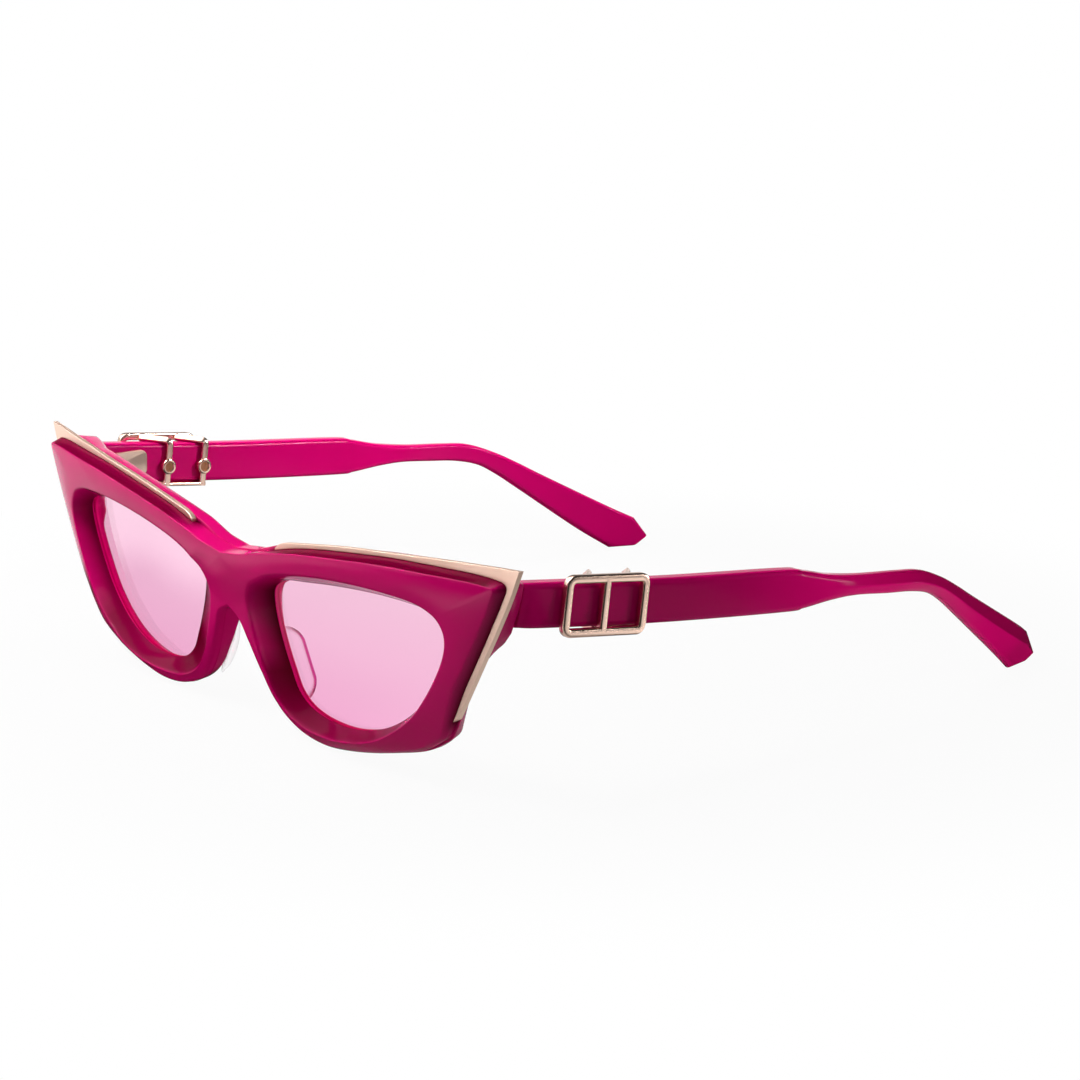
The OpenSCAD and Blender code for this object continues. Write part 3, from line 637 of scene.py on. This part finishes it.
def makePad(side):
    shape = padShape
    flat = padOutline()
    around = len(flat)
    rows = [(share, 0.0) for share in np.linspace(shape["first"], 1, shape["backRings"])[:-1]]
    rows += [(shape["backEdge"], 0.0), (1.0, shape["backRise"])]
    rings = [np.column_stack([flat * share, np.full(around, z)]) for share, z in rows]
    for share in np.linspace(1.0, shape["first"], shape["crownRings"]):
        spot = flat * share
        dome = shape["high"] - shape["crown"] + np.sqrt(shape["crown"] ** 2 - (spot ** 2).sum(axis=1))
        dome = dome - shape["rim"] * share ** shape["rimPower"]
        rings.append(np.column_stack([spot, np.maximum(dome, shape["least"])]))
    k = np.array([shape["station"] / stationSteps])
    base = onFront(faceEdge(k) - shape["inwards"] * normalsAt(k, stationFaceOut), shape["off"])[0]
    turn = (Matrix.Rotation(frontLook["lean"], 3, "X") @ Matrix.Rotation(-math.radians(shape["lean"]), 3, "Y")
            @ Matrix.Rotation(math.radians(shape["turn"]), 3, "Z") @ Matrix.Rotation(math.pi, 3, "Z")
            @ Matrix.Rotation(math.pi / 2, 3, "X"))
    points = np.vstack(rings) @ np.array(turn).T + base
    # painted reflection: the rim's colour is painted into the edge that lies against the rim
    towards = np.sign((turn @ Vector((1, 0, 0))).x)
    aside = np.clip(shape["tintShift"] + flat[:, 0] / shape["wide"] * 2 * towards, 0, 1)
    bands = np.zeros(len(rings))
    bands[shape["tintFrom"]:shape["tintFrom"] + len(shape["tints"])] = shape["tints"]
    makePiece("pad_drop_" + side, flipped(points, sides[side]), ringFaces(len(rings), around), crystal, "front",
              ["nose_pad_" + side], shape["crisp"], depth=np.outer(bands, aside).ravel())


for side in sides:
    makePad(side)
print("pads made")

# Temples: one skin each, through rows of upper edge (distance behind the face, height), lower edge (the same),
# outer face, fall of the outer corners, lean of the lower one, slimming and the ridge's height
templeShape = {
    "steps": 10, "thick": 4.0, "tipThick": 3.4, "edge": 0.6, "longFrom": 14.0, "longTo": 154.8, "toe": 0.21,
    "endSize": 0.95, "startShift": 0.25, "crisp": 32.0,
    "rows": [
        [14.15, 38.2, 14.15, 30.1, 70.2, 0, 1.7, 0, 0.5], [20, 37.55, 20, 29.5, 70.3, 0, 0.3, 0, 0.5],
        [46, 34.7, 46, 26.7, 70.8, 0, 0, 0, 0.5], [74, 32.2, 74, 24.3, 71.2, 0, 0, 0, 0.5],
        [79, 31.3, 79, 24.3, 71.2, 0, 0, 0, 0.5], [86, 29.6, 86, 24.8, 71.3, 0.1, 0, 0, 0.5],
        [94, 28.4, 92.5, 24.8, 71.3, 0.4, 0, 0, 0.5], [104, 27.55, 100.5, 24, 71.3, 0.7, 0, 0, 0.5],
        [110.5, 26.75, 107.3, 23.25, 71.2, 1, 0, 0, 0.5], [117, 24.45, 113.1, 21.85, 70.3, 1.2, 0, 0, 0.47],
        [122.8, 21.65, 117.7, 19.4, 69.3, 1.3, 0, 0, 0.46], [130, 17.8, 123.6, 15.35, 67.8, 1.3, 0, 0, 0.47],
        [146, 9.5, 138, 5.2, 64.4, 1.3, 0, 0, 0.59], [151.9, 6.5, 145.8, 0.05, 62, 1.3, 0, 0, 0.67]],
    "end": [154.8, 2.4, 151.2, 0.05, 60.5, 0.6, 0, 0.1, 0.72],
    "round": [0.45, 0.45, 0.45, 0.3, 0.45, 0.45, 0.45, 0.45, 0.45], "hold": 0.12,
    # painted shade: the ear is painted darker above its ridge
    "wineEar": [[84, 0], [98, 0.35], [112, 0.5], [155, 0.5]]}    # how dark the ear is above its ridge


def templeRings():
    shape = templeShape
    spans = len(shape["rows"]) - 1
    rows = curveAt(shape["rows"], np.linspace(0, spans, spans * shape["steps"] + 1))
    rows = np.vstack([rows, shape["end"]])
    dTop, zTop, dLow, zLow, out, fall, lean, slim, ridge = rows.T
    run = (dTop - shape["longFrom"]) / (shape["longTo"] - shape["longFrom"])
    thick = (shape["thick"] + (shape["tipThick"] - shape["thick"]) * run) * (1 - slim)
    near = out - thick
    edge = np.minimum(shape["edge"], thick / 4)
    rise = shape["edge"] / np.hypot(dTop - dLow, zTop - zLow)
    top, low = np.ones_like(rise), np.zeros_like(rise)
    # nine corners of a section, from the lower edge up the outer face and down the inner one
    across = [near + edge, out - lean - fall - edge, out - lean - fall, out - lean / 2, out - fall,
              out - fall - edge, near + edge, near, near]
    up = [low, low, rise, ridge, 1 - rise, top, top, 1 - rise, rise]
    corners = np.stack([
        np.stack([x + shape["toe"] * (1 - s) * (dTop - dLow), frontLook["faceY"] + dLow + s * (dTop - dLow),
                  zLow + s * (zTop - zLow)], axis=1)
        for x, s in zip(across, up)], axis=1)
    rings = roundRings(corners, shape["round"], [4] * len(up), hold=shape["hold"])
    # painted shade, wine-dark from the ridge to the upper edge: six points for each corner
    shades = np.zeros((len(up), 6))
    shades[3] = [0, 0, 0.1, 0.6, 1, 1]
    shades[4] = 1
    shades[5] = [1, 1, 1, 1, 0.5, 0]
    return rings, np.outer(table(dTop, shape["wineEar"]), shades.ravel())


def makeTemple(side):
    rings, shades = templeRings()
    # a slim bevel at the joint and a rounded end
    ends = [ring.mean(axis=0) + (ring - ring.mean(axis=0)) * templeShape["endSize"]
            for ring in (rings[0], rings[-1])]
    start = rings[0] + (rings[1] - rings[0]) * templeShape["startShift"]
    rings = np.concatenate([ends[0][None], start[None], rings[1:], ends[1][None]])
    depth = np.concatenate([shades[:1], shades, shades[-1:]])
    makePiece("temple_acetate_" + side, flipped(rings.reshape(-1, 3), sides[side]), ringFaces(*rings.shape[:2]),
              templeAcetate, side + "_temple", ["temple_" + side], templeShape["crisp"],
              depth=depth.ravel())


for side in sides:
    makeTemple(side)
print("temples made")


# A tree of geometry nodes with named inputs, ready to be set on an object
def newTree(name, inputs):
    tree = bpy.data.node_groups.new(name, "GeometryNodeTree")
    tree.interface.new_socket(name="Geometry", in_out="INPUT", socket_type="NodeSocketGeometry")
    for label, kind in inputs:
        tree.interface.new_socket(name=label, in_out="INPUT", socket_type=kind)
    tree.interface.new_socket(name="Geometry", in_out="OUTPUT", socket_type="NodeSocketGeometry")
    enter = tree.nodes.new("NodeGroupInput")
    wires = {socket.name: Wire(tree, socket) for socket in enter.outputs if socket.name}
    return tree, wires


def closeTree(tree, made, finish):
    whole = made.node("GeometryNodeRealizeInstances", {}, {"Geometry": made})
    dressed = whole.node("GeometryNodeSetMaterial", {}, {"Geometry": whole, "Material": finish})
    leave = tree.nodes.new("NodeGroupOutput")
    tree.links.new(dressed.socket, leave.inputs["Geometry"])


grownCrisp = 35.0


# A piece grown by a tree from points in millimetres and the edges between them
def growPiece(name, tree, points, edges, values, finish, body, nodes):
    seed = bpy.data.meshes.new(name + "_path")
    seed.from_pydata((np.asarray(points) / 1000.0).tolist(), edges, [])
    holder = bpy.data.objects.new(name + "_path", seed)
    bpy.context.scene.collection.objects.link(holder)
    modifier = holder.modifiers.new("grow", "NODES")
    modifier.node_group = tree
    known = {item.name: item.identifier for item in tree.interface.items_tree if item.in_out == "INPUT"}
    for label, value in values.items():
        modifier[known[label]] = value
    modifier[known["Finish"]] = finish
    result = holder.evaluated_get(bpy.context.evaluated_depsgraph_get())
    mesh = bpy.data.meshes.new_from_object(result)
    mesh.name = name
    bpy.data.objects.remove(holder)
    finishMesh(name, mesh, finish, body, nodes, grownCrisp)


# Flat bar with eased edges swept along a path
barTree, given = newTree("swept bar", [
    ("Thickness", "NodeSocketFloat"), ("Width", "NodeSocketFloat"), ("Easing", "NodeSocketFloat"),
    ("Finish", "NodeSocketMaterial")])
path = given["Geometry"].node("GeometryNodeMeshToCurve", {}, {"Mesh": given["Geometry"]})
profile = path.node("GeometryNodeCurvePrimitiveQuadrilateral", {},
                    {"Width": given["Thickness"], "Height": given["Width"]})
soft = path.node("GeometryNodeFilletCurve", {"mode": "POLY"},
                 {"Curve": profile, "Count": 3, "Radius": given["Easing"], "Limit Radius": True})
swept = path.node("GeometryNodeCurveToMesh", {}, {"Curve": path, "Profile Curve": soft, "Fill Caps": True})
closeTree(barTree, swept, given["Finish"])

# Slotted screw: a flat head with a slot, and a shank below it, on every point
screwShape = {"recess": 0.35, "slotLong": 3.0, "sunk": 0.98, "headSides": 40, "shankSides": 24}
screwTree, given = newTree("slotted screw", [
    ("Head Radius", "NodeSocketFloat"), ("Head Height", "NodeSocketFloat"), ("Shank Radius", "NodeSocketFloat"),
    ("Shank Length", "NodeSocketFloat"), ("Slot Width", "NodeSocketFloat"), ("Axis", "NodeSocketVector"),
    ("Finish", "NodeSocketMaterial")])
points = given["Geometry"]


# A cylinder below its point, with its upper end as far down as top says
def drum(count, radius, high, top):
    made = points.node("GeometryNodeMeshCylinder", {}, {"Vertices": count, "Radius": radius, "Depth": high})
    spot = points.node("ShaderNodeCombineXYZ", {}, {"Z": high * -0.5 - top})
    return points.node("GeometryNodeTransform", {}, {"Geometry": made, "Translation": spot})


headRadius, headHigh = given["Head Radius"], given["Head Height"]
recess = headHigh * screwShape["recess"]
slotSize = points.node("ShaderNodeCombineXYZ", {}, {
    "X": headRadius * screwShape["slotLong"], "Y": given["Slot Width"], "Z": headHigh})
slotBlock = points.node("GeometryNodeMeshCube", {}, {"Size": slotSize})
head = points.node("GeometryNodeMeshBoolean", {"operation": "DIFFERENCE", "solver": "EXACT"}, {
    "Mesh 1": drum(screwShape["headSides"], headRadius, headHigh - recess, recess), "Mesh 2": slotBlock})
shank = drum(screwShape["shankSides"], given["Shank Radius"], given["Shank Length"],
             headHigh * screwShape["sunk"])
joined = screwTree.nodes.new("GeometryNodeJoinGeometry")
for part in (head, shank):
    screwTree.links.new(part.socket, joined.inputs["Geometry"])
stand = points.node("FunctionNodeAlignRotationToVector", {"axis": "Z"}, {"Vector": given["Axis"]})
placed = points.node("GeometryNodeInstanceOnPoints", {}, {
    "Points": points, "Instance": Wire(screwTree, joined.outputs["Geometry"]), "Rotation": stand})
closeTree(screwTree, placed, given["Finish"])
print("trees made")

# Clasps: a slide buckle outside, two bars with bosses inside, arms over the top and a link below
claspShape = {
    "origin": (70.52, frontLook["faceY"] + 30.3, 32.45), "slope": math.radians(-6.2), "yaw": math.radians(-1.1),
    "bars": (0.5, 9.2), "gap": 0.06, "halfTall": 4.03, "inside": -4.02, "clampThick": 0.9, "barWide": 1.4,
    "armSlant": 4.4, "armRound": 0.8, "underThick": 0.7, "linkShort": 1.0, "clampEase": 0.2,
    "buckleLong": 18.4, "buckleHigh": 10.8, "buckleBar": 1.5, "buckleThick": 1.4, "buckleRound": 1.3,
    "roundSteps": 7, "buckleEase": 0.32,
    "bossRadius": 1.6, "bossThick": 1.2, "bossZ": -0.7, "bossEase": 0.25, "bossKnee": 0.08, "holeEase": 0.12,
    "bossTurns": 48, "bossCrisp": 35.0,
    "headRadius": 0.95, "headHigh": 0.5, "slot": 0.3, "shank": 0.5, "shankLong": 1.6, "play": 0.03,
    "sunk": 0.02}
claspTurn = Matrix.Rotation(claspShape["slope"], 3, "X") @ Matrix.Rotation(claspShape["yaw"], 3, "Z")


# Points along the clasp's own axes: outwards, backwards and up from the middle of the temple's outer face
def claspPoints(points, side):
    points = np.asarray(points, float) @ np.array(claspTurn).T + np.array(claspShape["origin"])
    return flipped(points, sides[side])


def easedPath(points, radius, count=6):
    points = np.asarray(points, float)[None]
    inside = points.shape[1] - 2
    return roundRings(points, [0] + [radius] * inside + [0], [1] + [count] * inside + [1])[0]


def chain(start, count, closed=False):
    edges = [(start + i, start + i + 1) for i in range(count - 1)]
    return edges + ([(start + count - 1, start)] if closed else [])


def growBar(name, side, points, edges, thick, wide, ease, nodes):
    sizes = {"Thickness": thick / 1000, "Width": wide / 1000, "Easing": ease / 1000}
    growPiece(name + side, barTree, claspPoints(points, side), edges, sizes, gold,
              side + "_temple", nodes)


def makeBuckle(side):
    shape = claspShape
    half = shape["buckleBar"] / 2
    x = shape["gap"] + shape["buckleThick"] / 2
    rear = shape["bars"][1] + half
    y0, y1 = rear - shape["buckleLong"] + half, rear - half
    z = shape["buckleHigh"] / 2 - half
    steps = shape["roundSteps"]
    corners = np.array([[x, y0, -z], [x, y1, -z], [x, y1, z], [x, y0, z]])[None]
    loop = np.roll(roundRings(corners, [shape["buckleRound"]] * 4, [steps] * 4)[0], -steps, axis=0)
    bar = np.array([[x, shape["bars"][0], -z], [x, shape["bars"][0], z]])
    edges = chain(0, len(loop), True) + chain(len(loop), 2)
    growBar("buckle_frame_", side, np.vstack([loop, bar]), edges, shape["buckleThick"], shape["buckleBar"],
            shape["buckleEase"], ["clasp_buckle_" + side])


def makeClamp(side):
    shape = claspShape
    thick, under = shape["clampThick"], shape["underThick"]
    top = shape["halfTall"] + shape["gap"]
    over = top + thick / 2
    x = shape["inside"] - thick / 2
    points, edges = [], []
    for y in shape["bars"]:
        path = easedPath([[x, y, -top - under], [x, y, over], [shape["gap"], y - shape["armSlant"], over]],
                         shape["armRound"])
        edges += chain(len(points), len(path))
        points += path.tolist()
    growBar("clamp_bars_", side, points, edges, thick, shape["barWide"], shape["clampEase"],
            ["clasp_clamp_" + side])
    wide = -shape["inside"] - shape["linkShort"] + thick
    middle = shape["inside"] - thick + wide / 2
    front, back = shape["bars"][0] - shape["barWide"] / 2, shape["bars"][1] + shape["barWide"] / 2
    link = [[middle, y, -top - under / 2] for y in (front, back)]
    growBar("clamp_link_", side, link, chain(0, 2), wide, under, shape["clampEase"], [])


# Ring bosses round the screws, turned about the screw's axis
def makeBosses(side):
    shape = claspShape
    outer, hole = shape["bossRadius"], shape["headRadius"] + shape["play"]
    high, floor = shape["bossThick"], shape["headHigh"]
    ease, knee, inEase = shape["bossEase"], shape["bossKnee"], shape["holeEase"]
    outline = [(0, high), (outer, high), (outer, ease), (outer - knee, knee), (outer - ease, 0),
               (hole + inEase, 0), (hole, inEase), (hole, floor), (0, floor)]
    n, turns = len(outline), shape["bossTurns"]
    inmost = shape["inside"] - high
    points, faces = [], []
    for y in shape["bars"]:
        start = len(points)
        for t in np.arange(turns) / turns * 2 * math.pi:
            for r, deep in outline:
                points.append((inmost + deep, y + r * math.cos(t), shape["bossZ"] + r * math.sin(t)))
        for i in range(turns):
            here, beside = start + i * n, start + (i + 1) % turns * n
            for j in range(n - 1):
                faces.append((here + j, here + j + 1, beside + j + 1, beside + j))
    makePiece("clamp_bosses_" + side, claspPoints(points, side), faces, gold, side + "_temple", [],
              shape["bossCrisp"])


def makeScrews(side):
    shape = claspShape
    spots = [(shape["inside"] - shape["bossThick"] + shape["sunk"], y, shape["bossZ"]) for y in shape["bars"]]
    axis = flipped(np.array(claspTurn @ Vector((-1.0, 0.0, 0.0))), sides[side])
    sizes = {
        "Head Radius": shape["headRadius"] / 1000, "Head Height": (shape["headHigh"] - shape["play"]) / 1000,
        "Shank Radius": shape["shank"] / 1000, "Shank Length": shape["shankLong"] / 1000,
        "Slot Width": shape["slot"] / 1000, "Axis": tuple(axis)}
    growPiece("clasp_screw_pair_" + side, screwTree, claspPoints(spots, side), [], sizes, darkerGold,
              side + "_temple", ["clasp_screws_" + side])


for side in sides:
    makeBuckle(side)
    makeClamp(side)
    makeBosses(side)
    makeScrews(side)
print("clasps made")

# Hinges: the solids with their edges eased, and steel on the hidden pins, screws and wires
hingeLook = {"ease": 0.00009, "flat": math.radians(1.0), "sharp": math.radians(50), "crisp": 24.0,
    "hidden": ("trim_pins", "hinge_screw", "core_wire")}


def easeNode(node, finish, body):
    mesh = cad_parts[node].data.copy()
    work = bmesh.new()
    work.from_mesh(mesh)
    bmesh.ops.remove_doubles(work, verts=work.verts, dist=slack)
    bmesh.ops.dissolve_limit(work, angle_limit=hingeLook["flat"], verts=work.verts, edges=work.edges)
    sharp = [e for e in work.edges if len(e.link_faces) == 2 and e.calc_face_angle(0) > hingeLook["sharp"]]
    bmesh.ops.bevel(work, geom=sharp, offset=hingeLook["ease"], segments=2, affect="EDGES", clamp_overlap=True)
    work.to_mesh(mesh)
    work.free()
    finishMesh(node + "_eased", mesh, finish, body, [node], hingeLook["crisp"])


for side in sides:
    easeNode("hinge_temple_" + side, satinGold, side + "_temple")
    easeNode("hinge_front_" + side, satinGold, "front")
for node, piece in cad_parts.items():
    if node.rsplit("_", 1)[0] in hingeLook["hidden"]:
        piece.data.materials.clear()
        piece.data.materials.append(steel)
print("hinges made")


# How a ray looks at the stage: straight or through glass, in a mirror, or as light
def rayKinds(wire):
    rays = {name: wire.node("ShaderNodeLightPath", {}, {}, name)
            for name in ("Is Camera Ray", "Is Glossy Ray", "Is Transmission Ray")}
    seen = wire.node("ShaderNodeMath", {"operation": "MINIMUM"}, {
        0: rays["Is Camera Ray"] + rays["Is Transmission Ray"], 1: 1.0})
    return seen, (1.0 - seen) * rays["Is Glossy Ray"]


def eased(wire, value, start, stop):
    return wire.node("ShaderNodeMapRange", {"interpolation_type": "SMOOTHSTEP"}, {
        "Value": value, "From Min": start, "From Max": stop})


def axesOf(wire, output):
    place = wire.node("ShaderNodeTexCoord", {}, {}, output)
    return place, [wire.node("ShaderNodeSeparateXYZ", {}, {"Vector": place}, axis) for axis in "XYZ"]


# Pale floor: white to the eye with a faint shadow near the glasses, and dark in mirrors apart from some cards
floorLook = {
    "reach": 4.0, "paper": 0.36, "fibre": 0.97, "fibres": 300.0, "glow": 0.95, "shadow": (0.09, 0.17),
    "plain": 0.03,
    # white cards on the floor that only show in mirrors: level, left, right, front, back
    "cards": [
        (1.2, -2.0, -0.11, -2.0, 2.0), (1.0, -0.06, 0.21, -0.01, 0.06), (0.5, 0.03, 0.11, -0.14, -0.03),
        (1.6, -0.11, -0.07, -0.21, -0.1), (0.3, -0.07, 0.03, -0.21, -0.1), (2.0, 0.0, 0.08, -0.28, -0.14)],
    "softSide": 0.02, "softEnd": 0.01}


def band(wire, value, start, stop, soft):
    return eased(wire, value, start - soft, start + soft) * (1.0 - eased(wire, value, stop - soft, stop + soft))


def makeFloor():
    look = floorLook
    mesh = bpy.data.meshes.new("floor")
    work = bmesh.new()
    bmesh.ops.create_grid(work, x_segments=8, y_segments=8, size=look["reach"])
    work.to_mesh(mesh)
    work.free()
    floor = bpy.data.objects.new("floor", mesh)
    bpy.context.scene.collection.objects.link(floor)
    paper, wire, shader = newFinish("pale paper", Roughness=0.9, Specular_IOR_Level=0.0)
    tones = [(look["paper"] * share,) * 3 + (1,) for share in (look["fibre"], 1.0)]
    mixColours(wire, cloud(wire, look["fibres"]), *tones).into(shader.inputs["Base Color"])
    seen, mirrored = rayKinds(wire)
    place, (x, y, _) = axesOf(wire, "Object")
    away = wire.node("ShaderNodeVectorMath", {"operation": "LENGTH"}, {0: place}, "Value")
    share = look["glow"] + eased(wire, away, *look["shadow"]) * (1.0 - look["glow"])
    white = wire.node("ShaderNodeEmission", {}, {"Color": (1, 1, 1, 1), "Strength": 1.0})
    sheet = look["plain"]
    for level, left, right, front, back in look["cards"]:
        across = band(wire, x, left, right, look["softSide"])
        sheet = sheet + across * band(wire, y, front, back, look["softEnd"]) * level
    mirror = wire.node("ShaderNodeEmission", {}, {"Color": (1, 1, 1, 1), "Strength": sheet})
    plain = wire.node("ShaderNodeMixShader", {}, {
        0: seen * share, 1: Wire(wire.tree, shader.outputs[0]), 2: white})
    both = wire.node("ShaderNodeMixShader", {}, {0: mirrored, 1: plain, 2: mirror})
    both.into(wire.tree.nodes["Material Output"].inputs["Surface"])
    mesh.materials.append(paper)


makeFloor()

# World: white where it is seen, dim as light, and bright only low on the left in mirrors
worldLook = {"light": 0.15, "mirror": 0.03, "left": 0.8, "sides": (-0.2, -0.8), "heights": (0.1, 0.4)}
world = bpy.data.worlds.new("studio")
world.use_nodes = True
bpy.context.scene.world = world
wire = Wire(world.node_tree)
seen, mirrored = rayKinds(wire)
x, _, z = axesOf(wire, "Generated")[1]
low = 1.0 - eased(wire, z, *worldLook["heights"])
dim = worldLook["mirror"] + eased(wire, x, *worldLook["sides"]) * low * worldLook["left"]
level = seen + mirrored * dim + (1.0 - seen - mirrored) * worldLook["light"]
sky = world.node_tree.nodes["Background"]
level.into(sky.inputs["Strength"])
sky.inputs["Color"].default_value = (1, 1, 1, 1)

# Soft lamps: place and aim in millimetres, size in metres, power in watts, spread in degrees
lamps = {
    "back box": ((250, 300, 250), (-68, 10, 25), 0.1, 0.052, 20.0),       # far temple
    "left box": ((-230, -220, 420), (-20, -77, 25), 0.6, 3.1, 180.0),     # main light
    "far box": ((-200, -250, 480), (-62, -75, 32), 0.2, 0.09, 15.0),      # far brow
    "top box": ((-100, -100, 600), (0, -60, 30), 0.4, 0.6, 180.0),
    "right box": ((230, 200, 25), (70, -20, 25), 0.1, 0.0085, 20.0),      # near temple
    "front box": ((-175, -340, 110), (40, -75, 30), 0.08, 0.07, 180.0),
    "side box": ((-5, -412, 60), (68, -72, 28), 0.06, 0.002, 20.0),       # near trim and end piece
    "ear box": ((243, -128, 42), (66, 66, 8), 0.08, 0.017, 15.0)}         # near ear
for name, (spot, aim, size, power, spread) in lamps.items():
    lamp = bpy.data.lights.new(name, "AREA")
    lamp.size = size
    lamp.spread = math.radians(spread)
    lamp.energy = power
    holder = bpy.data.objects.new(name, lamp)
    holder.location = Vector(spot) / 1000
    holder.rotation_euler = (Vector(aim) - Vector(spot)).to_track_quat("-Z", "Y").to_euler()
    bpy.context.scene.collection.objects.link(holder)

# Camera at the photograph's angle, in degrees and millimetres
shot = {"azimuth": 50.472, "elevation": 13.526, "roll": 1.28, "away": 581.0, "aim": (6.94, -7.91, 25.59),
    "lens": 99.666, "sensor": 36.0, "clip": 0.01}
a, e, r = (math.radians(shot[name]) for name in ("azimuth", "elevation", "roll"))
back = Vector((math.sin(a) * math.cos(e), -math.cos(a) * math.cos(e), math.sin(e)))
right = (-back).cross(Vector((0, 0, 1))).normalized()
up = right.cross(-back)
across = right * math.cos(r) + up * math.sin(r)
upright = up * math.cos(r) - right * math.sin(r)
camera = bpy.data.cameras.new("camera")
camera.lens = shot["lens"]
camera.sensor_width = shot["sensor"]
camera.clip_start = shot["clip"]
eye = bpy.data.objects.new("camera", camera)
place = Matrix((across, upright, back)).transposed().to_4x4()
place.translation = (Vector(shot["aim"]) + back * shot["away"]) / 1000
eye.matrix_world = place
bpy.context.scene.collection.objects.link(eye)
bpy.context.scene.camera = eye
bpy.context.scene.view_settings.view_transform = "Standard"
print("stage set")
